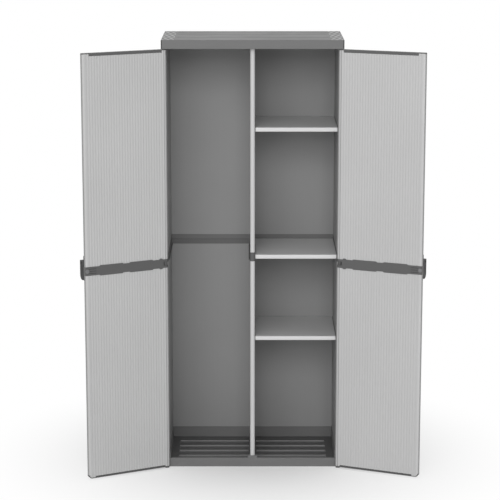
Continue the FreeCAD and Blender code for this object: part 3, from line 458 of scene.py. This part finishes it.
@dataclass
class Workshop:
    """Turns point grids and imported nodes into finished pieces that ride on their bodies."""

    palette: Palette
    moulded_edge: float = 0.4 * MM
    edge_steps: int = 2
    count: int = 0

    def finished(self, name: str, mesh: bpy.types.Mesh, node: str, finish: Finish,
                 smooth_below: float = SOFT_TURN) -> bpy.types.Object:
        """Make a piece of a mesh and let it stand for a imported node.

        Args:
            name: The piece's name.
            mesh: Its mesh, already in place.
            node: The node that it replaces, whose body it rides on.
            finish: Its finish.
            smooth_below: Edges that turn by less than this many degrees shade smoothly.

        Returns:
            The new piece.
        """
        mesh.materials.clear()
        mesh.materials.append(self.palette.material(finish))
        mesh.shade_smooth()
        mesh.set_sharp_from_angle(angle=math.radians(smooth_below))
        piece = linked(name, mesh)
        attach(piece, frame["nodes"][node]["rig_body"])
        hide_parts(node)
        self.count += 1
        LOG.info("%s stands for %s with %d faces in %s", name, node, len(mesh.polygons), finish.name)
        return piece

    def surface(self, name: str, points: Array, faces: Array, shade: Array, node: str,
                finish: Finish, smooth_below: float = SOFT_TURN) -> None:
        """Make a piece of a grid's points: a closed skin without doubles, its faces turned outwards.

        Args:
            name: The piece's name.
            points: Corners, one row of X, Y and Z each, in metres.
            faces: Four corner numbers for each face.
            shade: Painted light and shade of each corner, 1 for the plain colour.
            node: The node that it replaces.
            finish: Its finish.
            smooth_below: Edges that turn by less than this many degrees shade smoothly.
        """
        mesh = bpy.data.meshes.new(name)
        mesh.from_pydata(points.tolist(), [], faces.tolist())
        mesh.attributes.new(PAINTED_LIGHT, "FLOAT", "POINT").data.foreach_set("value", shade.astype(np.float32))
        work = bmesh.new()
        work.from_mesh(mesh)
        bmesh.ops.remove_doubles(work, verts=work.verts, dist=MERGE)
        bmesh.ops.recalc_face_normals(work, faces=work.faces)
        work.to_mesh(mesh)
        work.free()
        self.finished(name, mesh, node, finish, smooth_below)

    def softened(self, node: str, finish: Finish, shader: FaceShader = plain_faces,
                 levels: tuple[float, ...] = (), move: PointMover = unmoved, edge: float = 1.0) -> None:
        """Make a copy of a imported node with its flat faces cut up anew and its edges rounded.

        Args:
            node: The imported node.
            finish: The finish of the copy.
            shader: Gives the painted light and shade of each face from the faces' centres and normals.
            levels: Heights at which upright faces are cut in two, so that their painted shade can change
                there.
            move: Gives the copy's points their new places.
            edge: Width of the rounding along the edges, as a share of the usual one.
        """
        mesh = frame["nodes"][node].data.copy()
        work = bmesh.new()
        work.from_mesh(mesh)
        bmesh.ops.remove_doubles(work, verts=work.verts, dist=CAD_MERGE)
        flat = math.radians(FLAT_TURN)
        bmesh.ops.dissolve_limit(work, angle_limit=flat, verts=work.verts, edges=work.edges)
        for level in levels:
            every = [*work.verts, *work.edges, *work.faces]
            bmesh.ops.bisect_plane(work, geom=every, plane_co=(0.0, 0.0, level), plane_no=(0.0, 0.0, 1.0))
        bmesh.ops.triangulate(work, faces=work.faces)
        work.to_mesh(mesh)
        work.free()
        mesh.attributes.remove(mesh.attributes["custom_normal"])
        mesh.vertices.foreach_set("co", move(vectors(mesh.vertices, "co")).ravel())
        mesh.update()
        shade = shader(vectors(mesh.polygons, "center"), vectors(mesh.polygons, "normal"))
        mesh.attributes.new(PAINTED_LIGHT, "FLOAT", "FACE").data.foreach_set("value", shade.astype(np.float32))
        piece = self.finished(node + "_moulding", mesh, node, finish)
        bevel = piece.modifiers.new("rounded_edges", "BEVEL")
        bevel.width = edge * self.moulded_edge
        bevel.segments = self.edge_steps
        bevel.limit_method = "ANGLE"
        bevel.angle_limit = math.radians(SOFT_TURN)
        bevel.use_clamp_overlap = False
        piece.modifiers.new("flat_faces", "WEIGHTED_NORMAL").keep_sharp = True


def ring(low: Array, high: Array) -> Array:
    """Values round a board's section: those of the low face, and then those of the high face in reverse."""
    return np.concatenate((low, high[::-1]))


def half_thickness(across: Array, width: float, half: float, start: float, end: float) -> Array:
    """Half thickness of a board across its width.

    It is half all over, less r - sqrt(r^2 - (r - d)^2) within a radius r of an edge, where d is the
    distance from that edge: a quarter circle.

    Args:
        across: Places across the board.
        width: Width of the board.
        half: Half of its full thickness.
        start: Radius at the first edge.
        end: Radius at the last edge.

    Returns:
        The half thickness at each place.
    """
    result = np.full_like(across, half)
    for radius, distance in ((start, across), (end, width - across)):
        inside = np.clip(radius - distance, 0.0, radius)
        result -= radius - np.sqrt(radius ** 2 - inside ** 2)
    return result


def rib_valleys(across: Array, width: float, margin: float, pitch: float, depth: float) -> Array:
    """Depth of the valleys between fine ribs: depth / 2 * (1 - cos(2 pi (u - margin) / pitch)).

    The margins stay plain, and the pitch is eased so that a whole number of ribs fits between them.

    Args:
        across: Places u across the board.
        width: Width of the board.
        margin: Width of the plain strip at each edge.
        pitch: Distance from rib to rib.
        depth: Depth of a valley.

    Returns:
        The depth at each place.
    """
    span = width - 2 * margin
    turns = np.clip((across - margin) / span, 0.0, 1.0) * round(span / pitch)
    return 0.5 * depth * (1.0 - np.cos(2.0 * np.pi * turns))


@dataclass
class BoardForm:
    """Cross-section of an extruded board, and the grid that carries it along the board."""

    width: float
    thickness: float
    start_radius: float
    end_radius: float
    ribs: Ribs = Ribs.NONE
    rib_pitch: float = 10.6 * MM
    rib_depth: float = 1.1 * MM
    rib_margin: float = 14.0 * MM
    crown_width: float = 0.0
    crown_depth: float = 1.2 * MM
    groove_place: float = 0.0
    groove_width: float = 4.0 * MM
    groove_depth: float = 1.2 * MM
    # painted light: shade in the groove and on the free end face, a highlight on the crowned margin
    groove_core: float = 0.3
    groove_shade: float = 0.58
    crown_shade: float = 1.08
    edge_core: float = 0.5
    edge_shade: float = 0.75
    far_shade: float = 0.15
    plain_step: float = 12.0 * MM
    steps_per_rib: int = 8
    arc_steps: int = 9
    end_row: float = 1.5 * MM
    decimals: int = 8

    def across(self) -> Array:
        """Places across the board: close together on its round edges and ribs, wide apart elsewhere.

        Within a radius r of an edge they lie r * (1 - cos(t)) from it, where t grows in even steps.

        Returns:
            The places, from the first edge to the last.
        """
        turn = np.linspace(0.0, np.pi / 2, self.arc_steps)
        first = self.start_radius * (1.0 - np.cos(turn))
        last = self.width - self.end_radius * (1.0 - np.cos(turn))
        step = self.plain_step if self.ribs is Ribs.NONE else self.rib_pitch / self.steps_per_rib
        flat = self.width - self.start_radius - self.end_radius
        middle = np.linspace(self.start_radius, self.width - self.end_radius, round(flat / step) + 1)
        groove = self.groove_place + self.groove_width * np.linspace(-0.5, 0.5, self.arc_steps)
        places = (first, middle, last) + ((groove,) if self.groove_place else ())
        return np.unique(np.round(np.concatenate(places), self.decimals))

    def relief(self, across: Array) -> Array:
        """Depth of the face below its flat: the fine ribs, a groove by the stile and a crowned margin.

        The groove is depth / 2 * (1 + cos(2 pi (u - place) / width)) within half its width, and the
        margin falls away as depth * t^2, where t grows from 0 at its inner line to 1 at the edge.

        Args:
            across: Places u across the board.

        Returns:
            The depth at each place.
        """
        depth = rib_valleys(across, self.width, self.rib_margin, self.rib_pitch, self.rib_depth)
        if self.groove_place:
            turn = np.clip((across - self.groove_place) / self.groove_width, -0.5, 0.5)
            depth = np.maximum(depth, 0.5 * self.groove_depth * (1.0 + np.cos(2.0 * np.pi * turn)))
        if self.crown_width:
            share = np.clip((across - self.width + self.crown_width) / self.crown_width, 0.0, 1.0)
            depth = depth + self.crown_depth * share ** 2
        return depth

    def shades(self, across: Array) -> Array:
        """Painted light of the ring: painted shade in the groove and on the free end face, darkest at its far
        corner, and a painted highlight on the crowned margin.

        Args:
            across: Places u across the board.

        Returns:
            Shades of the low face's places, and then of the high face's in reverse.
        """
        low, high = np.ones((2, len(across)))
        if self.crown_width:
            groove = np.abs(across - self.groove_place) < self.groove_core * self.groove_width
            crown = across > self.width - self.crown_width
            edge = across > self.width - self.edge_core * self.end_radius
            for face, shade in ((low, self.far_shade), (high, self.edge_shade)):
                face[groove], face[crown], face[edge] = self.groove_shade, self.crown_shade, shade
        return ring(low, high)

    def grid(self, start: Array, end: Array) -> tuple[Array, Array, Array]:
        """Points, faces and painted shades of the board's closed skin.

        The ring of the section runs along the low face, at minus the half thickness, and back along the
        high face. It is carried from start(u) to end(u), with a row close to each end, and each end is
        closed by faces between the low and the high point at the same place across.

        Args:
            start: Where the board begins, for each place across.
            end: Where it ends, for each place across.

        Returns:
            Points as rows of across, through and along, faces as rows of four numbers, and painted shades.
        """
        across = self.across()
        half = half_thickness(across, self.width, self.thickness / 2, self.start_radius, self.end_radius)
        valley = self.relief(across)
        low_share, high_share = self.ribs.value
        through = ring(low_share * valley - half, half - high_share * valley)
        first, last = ring(start, start), ring(end, end)
        along = np.stack((first, first + self.end_row, last - self.end_row, last))
        points = stacked(ring(across, across), through, along)
        return points, board_faces(len(across), len(along)), np.tile(self.shades(across), len(along))


def board_faces(places: int, rows: int) -> Array:
    """Faces of a ring of twice as many points as places, carried through rows and closed at both ends.

    Args:
        places: Number of places across the board.
        rows: Number of rings along it.

    Returns:
        Rows of four corner numbers.
    """
    count = 2 * places
    number = np.arange(rows * count).reshape(rows, count)
    here, beside = number[:-1], np.roll(number[:-1], -1, axis=1)
    above, above_beside = number[1:], np.roll(number[1:], -1, axis=1)
    walls = np.stack((here, beside, above_beside, above), axis=-1).reshape(-1, 4)
    step = np.arange(places - 1)
    closing = np.stack((step, step + 1, count - 2 - step, count - 1 - step), axis=-1)
    return np.concatenate((walls, closing, closing + (rows - 1) * count))


def slab_faces(rows: int, columns: int) -> Array:
    """Faces of an upper and a lower grid of the same size, joined round their rims.

    Args:
        rows: Rows of each grid.
        columns: Columns of each grid.

    Returns:
        Rows of four corner numbers.
    """
    upper = np.arange(rows * columns).reshape(rows, columns)
    lower = upper + rows * columns
    sheets = [np.stack((grid[:-1, :-1], grid[:-1, 1:], grid[1:, 1:], grid[1:, :-1]), axis=-1).reshape(-1, 4)
              for grid in (upper, lower[:, ::-1])]
    rims = [np.stack((above[:-1], above[1:], below[1:], below[:-1]), axis=-1)
            for above, below in zip((upper[0], upper[-1], upper[:, 0], upper[:, -1]),
                                    (lower[0], lower[-1], lower[:, 0], lower[:, -1]))]
    return np.concatenate(sheets + rims)


@dataclass
class Carcass:
    """The standing body: side, back and divider boards, shelves, and the mouldings that hold them."""

    workshop: Workshop
    edge_radius: float = 3.0 * MM
    nose_radius: float = 3.5 * MM
    floor_level: float = 20.0 * MM
    floor_half: float = 318.0 * MM
    floor_back: float = 157.0 * MM
    lip_back: float = -158.0 * MM
    slat_start: float = 14.6 * MM
    slat_end: float = 287.6 * MM
    slat_rise: float = 3.1 * MM
    lip_low: float = 30.0 * MM
    # painted light on the base: shade on the floor between the slats, highlights on the slats' fronts and on
    # the lip
    floor_shade: float = 0.62
    slat_shade: float = 1.75
    lip_shade: float = 1.1
    corner: float = 5.0 * MM
    # painted light on the cover: shade on its front upright corners, a highlight on its top
    corner_shade: float = 0.25
    top_shade: float = 1.07
    top_band: float = 0.5 * MM
    recess_low: float = 1.5 * MM
    recess_left: float = 0.5 * MM
    pad_rise: float = 0.3 * MM
    pad_edge: float = 4.0 * MM
    pad_width: float = 44.0 * MM
    pad_columns: int = 2
    pad_rows: int = 3
    pad_steps: int = 20
    # painted light on the pads: highlights on the dimples' crests, shade in their hollows
    pad_contrast: float = 0.55
    groove_half: float = 1.2 * MM
    groove_depth: float = 1.2 * MM
    # painted shade in the back rail's groove
    groove_shade: float = 0.75

    def board(self, node: str, axes: tuple[int, int, int], finish: Finish, start_radius: float,
              end_radius: float, ribs: Ribs = Ribs.NONE) -> None:
        """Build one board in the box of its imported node.

        Args:
            node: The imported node.
            axes: Axes of its width, its thickness and its length, 0 to 2 for X to Z.
            finish: Its finish.
            start_radius: Radius at its first edge.
            end_radius: Radius at its last edge.
            ribs: The faces with fine ribs.
        """
        low, high = (np.array(corner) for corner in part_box(node))
        size = high - low
        across, through, along = axes
        form = BoardForm(size[across], size[through], start_radius, end_radius, ribs)
        level = np.zeros_like(form.across())
        points, faces, shade = form.grid(level, level + size[along])
        placed = np.empty_like(points)
        placed[:, across] = points[:, 0] + low[across]
        placed[:, through] = points[:, 1] + (low[through] + high[through]) / 2
        placed[:, along] = points[:, 2] + low[along]
        self.workshop.surface(node + "_board", placed, faces, shade, node, finish)

    def cover_eased(self, places: Array) -> Array:
        """Points of the cover, its top lowered for the grip pads and its recesses made shallow.

        Args:
            places: The points, in rows.

        Returns:
            The moved points.
        """
        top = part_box("cover")[1].z
        moved = places.copy()
        depth = top - places[:, 2]
        moved[depth < self.top_band, 2] = top - self.pad_rise
        recess = (depth > self.top_band) & (depth < self.recess_low)
        moved[recess, 2] = top - self.pad_rise - self.recess_left
        return moved

    def cover_shades(self, centres: Array, normals: Array) -> Array:
        """Painted light on the cover's faces: painted shade on the upright corners at its front and a painted
        highlight on its top.

        Args:
            centres: Centres of the faces, in rows.
            normals: Normals of the faces, in rows.

        Returns:
            One value for each face.
        """
        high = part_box("cover")[1]
        x, y, z = normals.T
        rounded = (np.abs(x) > ASLANT) & (y < -ASLANT) & (np.abs(z) < ASLANT)
        outer = np.abs(centres[:, 0]) > high.x - self.corner
        shade = np.where(rounded & outer, self.corner_shade, 1.0)
        shade[(z > UPWARD) & (centres[:, 2] > high.z - self.recess_low)] = self.top_shade
        return shade

    def grip_pad(self, side: Side) -> None:
        """Build the dimpled pad at one end of the cover's top.

        Its height is top - depth / 2 * (1 - cos(2 pi u) cos(2 pi v)), where u and v count dimples
        across and along the pad, and it falls by the whole depth at its rim.

        Args:
            side: The end of the cover.
        """
        low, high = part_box("cover")
        across = np.linspace(0.0, 1.0, self.pad_columns * self.pad_steps + 1)
        along = np.linspace(0.0, 1.0, self.pad_rows * self.pad_steps + 1)
        u, v = np.meshgrid(across, along)
        wave = np.cos(2.0 * np.pi * self.pad_columns * u) * np.cos(2.0 * np.pi * self.pad_rows * v)
        rim = (u == 0.0) | (u == 1.0) | (v == 0.0) | (v == 1.0)
        height = high.z - 0.5 * self.pad_rise * np.where(rim, 2.0, 1.0 - wave)
        x = side.value * (high.x - self.pad_edge - self.pad_width * u)
        y = low.y + self.pad_edge + (high.y - low.y - 2.0 * self.pad_edge) * v
        points = np.concatenate((stacked(x, y, height), stacked(x, y, high.z - 2.0 * self.pad_rise)))
        # painted highlight on the crests and painted shade in the hollows of the dimples
        shade = np.tile(1.0 + self.pad_contrast * wave.ravel(), 2)
        self.workshop.surface(f"cover_grip_pad_{side.word}", points, slab_faces(*u.shape), shade, "cover",
                              self.workshop.palette.grip)

    def tray_shades(self, centres: Array, normals: Array) -> Array:
        """Painted light on the base's faces: painted shade on the floor between the slats and painted
        highlights on the slats' fronts and on the lip.

        Args:
            centres: Centres of the faces, in rows.
            normals: Normals of the faces, in rows.

        Returns:
            One value for each face.
        """
        x, y, z = np.abs(centres[:, 0]), centres[:, 1], centres[:, 2]
        shade = np.ones(len(centres))
        inside = (x < self.floor_half) & (y > self.lip_back) & (y < self.floor_back)
        level = normals[:, 2] > UPWARD
        rise = z - self.floor_level
        shade[inside & level & (np.abs(rise) < NEAR)] = self.floor_shade
        slats = inside & (x > self.slat_start) & (x < self.slat_end)
        shade[slats & (rise > NEAR) & (rise < self.slat_rise)] = self.slat_shade
        shade[(z > self.lip_low) & (y < self.lip_back) & level] = self.lip_shade
        return shade

    def rail_middle(self) -> float:
        """Height of the back rail's middle line."""
        low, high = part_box("back_rail")
        return (low.z + high.z) / 2

    def rail_grooved(self, places: Array) -> Array:
        """Points of the back rail, with the ridge along its middle sunk into a groove.

        Args:
            places: The points, in rows.

        Returns:
            The moved points.
        """
        moved = places.copy()
        front = places[:, 1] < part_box("back_rail")[0].y + NEAR
        moved[front & (np.abs(places[:, 2] - self.rail_middle()) < NEAR), 1] += self.groove_depth
        return moved

    def rail_shades(self, centres: Array, normals: Array) -> Array:
        """Painted shade on the back rail's faces: darker in the groove along its middle."""
        sunk = (np.abs(centres[:, 2] - self.rail_middle()) < self.groove_half) & (normals[:, 1] < -FACING)
        return np.where(sunk, self.groove_shade, 1.0)

    def build(self) -> None:
        """Build every board and moulding of the carcass."""
        palette = self.workshop.palette
        for half in ("lower", "upper"):
            for side, ribs in ((Side.LEFT, Ribs.LOW), (Side.RIGHT, Ribs.HIGH)):
                self.board(f"side_panel_{half}_{side.word}", (1, 0, 2), palette.side,
                           self.edge_radius, self.edge_radius, ribs)
            self.board(f"back_panel_{half}", (0, 1, 2), palette.back, 0.0, 0.0)
            low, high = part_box(f"divider_{half}")
            self.board(f"divider_{half}", (1, 0, 2), palette.divider, (high.x - low.x) / 2, 0.0)
        for level in ("upper", "middle", "lower"):
            self.board(f"shelf_{level}", (1, 2, 0), palette.shelf, self.nose_radius, 0.0)
        self.workshop.softened("base", palette.frame, self.tray_shades, (self.floor_level,))
        self.workshop.softened("cover", palette.frame, self.cover_shades, move=self.cover_eased)
        for side in Side:
            self.grip_pad(side)
        middle = self.rail_middle()
        edges = (middle - self.groove_half, middle + self.groove_half)
        self.workshop.softened("back_rail", palette.rail, self.rail_shades, edges, self.rail_grooved)
        for node in ("side_joint_left", "side_joint_right", "divider_joint",
                     "shelf_pegs_upper", "shelf_pegs_lower"):
            self.workshop.softened(node, palette.trim)


@dataclass
class Leaf:
    """One door: its place, its four trimmed panels and caps, its band, handle and screw."""

    workshop: Workshop
    side: Side
    hinge: Array = field(init=False)
    opening: float = field(init=False)
    leaf_half: float = field(init=False)
    plate: float = 3.0 * MM
    hinge_inset: float = 20.0 * MM
    free_inset: float = 27.0 * MM
    step_run: float = 0.4 * MM
    bottom_corner: float = 13.0 * MM
    top_corner: float = 4.0 * MM
    edge_radius: float = 3.0 * MM
    fit_gap: float = 0.2 * MM
    band_web: float = 2.0 * MM
    band_block: float = 24.0 * MM
    band_skin: float = 1.3 * MM
    band_half: float = 16.5 * MM
    handle_edge: float = 2.0
    screw_edge: float = 0.5
    crown_width: float = 9.0 * MM
    stile_width: float = 11.0 * MM
    top_cap_depth: float = 11.0 * MM
    bottom_cap_depth: float = 8.0 * MM
    rib_offsets: Triple = (-8.5 * MM, 0.0, 8.5 * MM)
    rib_start: float = 14.0 * MM
    rib_end: float = 44.0 * MM
    rib_width: float = 2.4 * MM
    rib_rise: float = 0.6 * MM
    rib_steps: int = 8
    rib_smooth_below: float = 70.0
    seat_radius: float = 7.5 * MM
    seat_rise: float = 0.5 * MM
    seat_steps: int = 24
    # painted highlight: the seat's lighter grey
    seat_shade: float = 0.62

    def __post_init__(self) -> None:
        """Read the hinge's place and how far the door stands open from the frame's joint."""
        joint = next(j for j in frame["joints"] if j["child"] == f"door_{self.side.word}")
        self.hinge = np.array(joint["pos_m"])
        self.opening = -math.radians(joint["range_deg"][0])
        low, high = self.closed_box(f"door_panel_upper_{self.side.word}")
        self.leaf_half = (high[1] - low[1]) / 2

    def placed(self, points: Array) -> Array:
        """Points of the closed leaf about its hinge, swung open and hung in place.

        The leaf runs from the hinge towards the middle of the cabinet, +Y is its inner face, and it is
        turned about the upright axis and mirrored for the right side.

        Args:
            points: Rows of X from the hinge axis, Y through the leaf and Z.

        Returns:
            Rows of X, Y and Z of the cabinet.
        """
        x, y = turned(points[:, 0], points[:, 1], -self.opening)
        return stacked(self.hinge[0] - self.side.value * x, self.hinge[1] + y, points[:, 2])

    def closed_box(self, node: str) -> Pair:
        """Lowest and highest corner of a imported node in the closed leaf's own frame.

        Args:
            node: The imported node.

        Returns:
            The two corners as X from the hinge axis, Y through the leaf and Z.
        """
        x, y, z = vectors(frame["nodes"][node].data.vertices, "co").astype(float).T
        across = -self.side.value * (x - self.hinge[0])
        local = stacked(*turned(across, y - self.hinge[1], self.opening), z)
        return local.min(axis=0), local.max(axis=0)

    def cap_line(self, x: Array, reach: float, middle: float, corner: float) -> Array:
        """How far a cap reaches over the panel's end, for each place across the leaf.

        The cap is a thin plate, deeper between its two steps, and follows a quarter circle round the
        free corner: corner - sqrt(r^2 - (x - x0)^2), where r is the corner's radius less the plate.

        Args:
            x: Places from the hinge axis.
            reach: Where the leaf ends.
            middle: Depth of the cap between its steps.
            corner: Radius of its free corner.

        Returns:
            The depth of the cap at each place.
        """
        start = self.hinge_inset - self.leaf_half
        end = reach - self.free_inset
        stops = [start, start + self.step_run, end - self.step_run, end]
        depth = np.interp(x, stops, [self.plate, middle, middle, self.plate])
        radius = corner - self.plate
        turn = np.clip(x - (reach - corner), 0.0, radius)
        return np.maximum(depth, corner - np.sqrt(radius ** 2 - turn ** 2))

    def band_line(self, x: Array, reach: float) -> Array:
        """Half height of what the band takes out of the leaf: its web, and its solid blocks at the ends.

        Args:
            x: Places from the hinge axis.
            reach: Where the leaf ends.

        Returns:
            The half height at each place.
        """
        block = self.band_half + self.fit_gap
        first = self.band_block - self.leaf_half - self.band_skin + self.fit_gap
        last = reach - self.band_block - self.fit_gap
        stops = [first, first + self.step_run, last - self.step_run, last]
        return np.interp(x, stops, [block, self.band_web / 2, self.band_web / 2, block])

    def panel(self, half: str) -> None:
        """Build the upper or the lower panel, with fine ribs on both faces.

        Args:
            half: The word upper or lower.
        """
        word = self.side.word
        node = f"door_panel_{half}_{word}"
        low, high = self.closed_box(node)
        # painted light on the door boards: a highlight on the crowned margin, shade in the groove by the
        # stile and on the free end face
        form = BoardForm(high[0] - low[0], high[1] - low[1], self.leaf_half, self.edge_radius, Ribs.BOTH,
                         crown_width=self.crown_width, groove_place=self.stile_width)
        x = form.across() + low[0]
        middle = self.hinge[2]
        if half == "upper":
            top = self.closed_box(f"door_top_cap_{word}")[1][2]
            start = middle + self.band_line(x, high[0])
            end = top - self.cap_line(x, high[0], self.top_cap_depth, self.top_corner)
        else:
            bottom = self.closed_box(f"door_bottom_cap_{word}")[0][2]
            start = bottom + self.cap_line(x, high[0], self.bottom_cap_depth, self.bottom_corner)
            end = middle - self.band_line(x, high[0])
        points, faces, shade = form.grid(start, end)
        points[:, 0] += low[0]
        self.workshop.surface(node + "_board", self.placed(points), faces, shade, node,
                              self.workshop.palette.door)

    def band_ribs(self) -> None:
        """Build the fine ribs on the inner face of the band, by its free end; their near-black grey is
        painted shade.

        Each rises by rise * sin(pi v) * min(1, u n, (1 - u) n) above the band, where v goes across the
        rib, u goes along it and n is the number of steps, so that only its two ends slope down.
        """
        low, high = self.closed_box(f"door_band_{self.side.word}")
        step = np.linspace(0.0, 1.0, self.rib_steps + 1)
        u, v = np.meshgrid(step, step)
        taper = np.minimum(1.0, self.rib_steps * np.minimum(u, 1.0 - u))
        x = high[0] - self.rib_start - (self.rib_end - self.rib_start) * u
        middle = (low[2] + high[2]) / 2
        points, faces = [], []
        for offset in self.rib_offsets:
            z = middle + offset + self.rib_width * (v - 0.5)
            rise = self.rib_rise * np.sin(np.pi * v) * taper
            faces.append(slab_faces(*x.shape) + sum(len(part) for part in points))
            points.extend((stacked(x, high[1] + rise, z), stacked(x, high[1] - self.rib_rise, z)))
        corners = self.placed(np.concatenate(points))
        self.workshop.surface(f"door_band_ribs_{self.side.word}", corners, np.concatenate(faces),
                              np.ones(len(corners)), f"door_band_{self.side.word}",
                              self.workshop.palette.rib, self.rib_smooth_below)

    def screw_seat(self) -> None:
        """Build the low round seat under the head of the handle's screw; its light grey is a painted
        highlight.

        A square of u and v from -1 to 1 is drawn onto a disc by x = u sqrt(1 - v^2 / 2) and
        z = v sqrt(1 - u^2 / 2), and the disc rises by rise * (1 - r^6) above the band.
        """
        low, high = self.closed_box(f"handle_screw_{self.side.word}")
        face = self.closed_box(f"door_band_{self.side.word}")[1][1]
        step = np.linspace(-1.0, 1.0, self.seat_steps + 1)
        u, v = np.meshgrid(step, step)
        x, z = u * np.sqrt(1.0 - v ** 2 / 2), v * np.sqrt(1.0 - u ** 2 / 2)
        rise = self.seat_rise * (1.0 - (x ** 2 + z ** 2) ** 3)
        middle = (low + high) / 2
        x, z = middle[0] + self.seat_radius * x, middle[2] + self.seat_radius * z
        points = np.concatenate((stacked(x, face + rise, z), stacked(x, face - self.seat_rise, z)))
        corners = self.placed(points)
        self.workshop.surface(f"door_band_seat_{self.side.word}", corners, slab_faces(*u.shape),
                              np.full(len(corners), self.seat_shade), f"door_band_{self.side.word}",
                              self.workshop.palette.grip)

    def build(self) -> None:
        """Build and dress every piece of the door."""
        palette = self.workshop.palette
        word = self.side.word
        for half in ("upper", "lower"):
            self.panel(half)
        for piece in ("door_top_cap", "door_band"):
            self.workshop.softened(f"{piece}_{word}", palette.trim)
        self.workshop.softened(f"door_bottom_cap_{word}", palette.foot)
        self.band_ribs()
        self.screw_seat()
        self.workshop.softened(f"door_handle_{word}", palette.handle, edge=self.handle_edge)
        self.workshop.softened(f"handle_screw_{word}", palette.steel, edge=self.screw_edge)


@dataclass
class Pins:
    """Steel hinge pins, which keep their packed form."""

    workshop: Workshop

    def build(self) -> None:
        """Give the pins their finish."""
        for node in ("hinge_pins_top", "hinge_pins_middle"):
            pins = frame["nodes"][node]
            pins.data.materials.clear()
            pins.data.materials.append(self.workshop.palette.material(self.workshop.palette.steel))
            LOG.info("%s dressed in %s", node, self.workshop.palette.steel.name)


@dataclass(frozen=True)
class Lamp:
    """A square soft lamp and its level, the light on a surface that faces it: 1 shows a colour as written."""

    name: str
    place: Triple
    size: float
    level: float


@dataclass
class Studio:
    """Pale floor, soft lamps and the camera at the photograph's viewing angle."""

    eye: Triple = (-0.0096, -7.2606, 2.3355)
    pitch_down: float = 11.77
    lens: float = 137.6
    sensor: float = 36.0
    farthest: float = 200.0
    floor_half: float = 40.0
    floor_tone: float = 0.93
    floor_roughness: float = 0.8
    floor_sheen: float = 0.1
    plain_reach: float = -0.15
    white_reach: float = 1.15
    room_tone: float = 0.45
    aim: Triple = (0.0, 0.0, 0.9)
    lamps: tuple[Lamp, ...] = (Lamp("key_lamp", (-4.8, -9.3, 7.5), 4.4, 0.084),
                               Lamp("front_lamp", (0.0, -12.0, 6.3), 5.0, 0.284),
                               Lamp("low_lamp", (-4.4, -11.6, 2.7), 4.0, 0.083),
                               Lamp("overhead_lamp", (0.0, 0.0, 10.1), 6.0, 0.118))

    def camera(self) -> None:
        """Set up the camera: level, tilted down onto the cabinet."""
        data = bpy.data.cameras.new("photo_view")
        data.lens = self.lens
        data.sensor_width = self.sensor
        data.clip_end = self.farthest
        camera = linked("photo_view", data)
        camera.location = self.eye
        camera.rotation_euler = (math.radians(90.0 - self.pitch_down), 0.0, 0.0)
        bpy.context.scene.camera = camera

    def light(self, lamp: Lamp) -> None:
        """Add a lamp that shines at the aim.

        Args:
            lamp: The lamp.
        """
        data = bpy.data.lights.new(lamp.name, "AREA")
        data.shape = "SQUARE"
        data.size = lamp.size
        towards = Vector(self.aim) - Vector(lamp.place)
        data.energy = lamp.level * math.pi ** 2 * towards.length_squared
        source = linked(lamp.name, data)
        source.location = lamp.place
        source.rotation_euler = towards.to_track_quat("-Z", "Y").to_euler()

    def room(self) -> None:
        """White surroundings to the eye, which light the cabinet evenly at a lower level."""
        world = bpy.data.worlds.new("studio_room")
        bpy.context.scene.world = world
        tree = Tree(world)
        background = tree.nodes["Background"]
        background.inputs["Color"].default_value = (1.0, 1.0, 1.0, 1.0)
        level = tree.ranged(tree.seen(), (0.0, 1.0), (self.room_tone, 1.0))
        tree.links.new(level, background.inputs["Strength"])

    def floor(self) -> None:
        """Lay the pale floor, which turns white to the eye away from the cabinet."""
        half = self.floor_half
        mesh = bpy.data.meshes.new("studio_floor")
        corners = [(-half, -half, 0.0), (half, -half, 0.0), (half, half, 0.0), (-half, half, 0.0)]
        mesh.from_pydata(corners, [], [(0, 1, 2, 3)])
        graph = Graph("studio_floor")
        plain = graph.shader
        plain.inputs["Base Color"].default_value = (self.floor_tone,) * 3 + (1.0,)
        plain.inputs["Roughness"].default_value = self.floor_roughness
        plain.inputs["Specular IOR Level"].default_value = self.floor_sheen
        white = graph.add("ShaderNodeEmission", {})
        reach = graph.add("ShaderNodeVectorMath", {0: graph.place}, operation="LENGTH").outputs["Value"]
        fade = graph.ranged(reach, (self.plain_reach, self.white_reach), (0.0, 1.0),
                            interpolation_type="SMOOTHSTEP")
        mix = graph.add("ShaderNodeMixShader", {"Fac": graph.times(fade, graph.seen()),
                                                1: plain.outputs["BSDF"], 2: white.outputs["Emission"]})
        graph.links.new(mix.outputs["Shader"], graph.nodes["Material Output"].inputs["Surface"])
        mesh.materials.append(graph.material)
        floor = linked("studio_floor", mesh)

    def build(self) -> None:
        """Set up the whole studio."""
        self.camera()
        self.room()
        self.floor()
        for lamp in self.lamps:
            self.light(lamp)
        bpy.context.scene.view_settings.view_transform = "Standard"


def main() -> None:
    """Build the cabinet and the studio."""
    logging.basicConfig(level=logging.INFO, format="%(name)s: %(message)s")
    workshop = Workshop(Palette())
    Carcass(workshop).build()
    for side in Side:
        Leaf(workshop, side).build()
    Pins(workshop).build()
    Studio().build()
    LOG.info("%d new pieces", workshop.count)


if __name__ == "__main__":
    main()
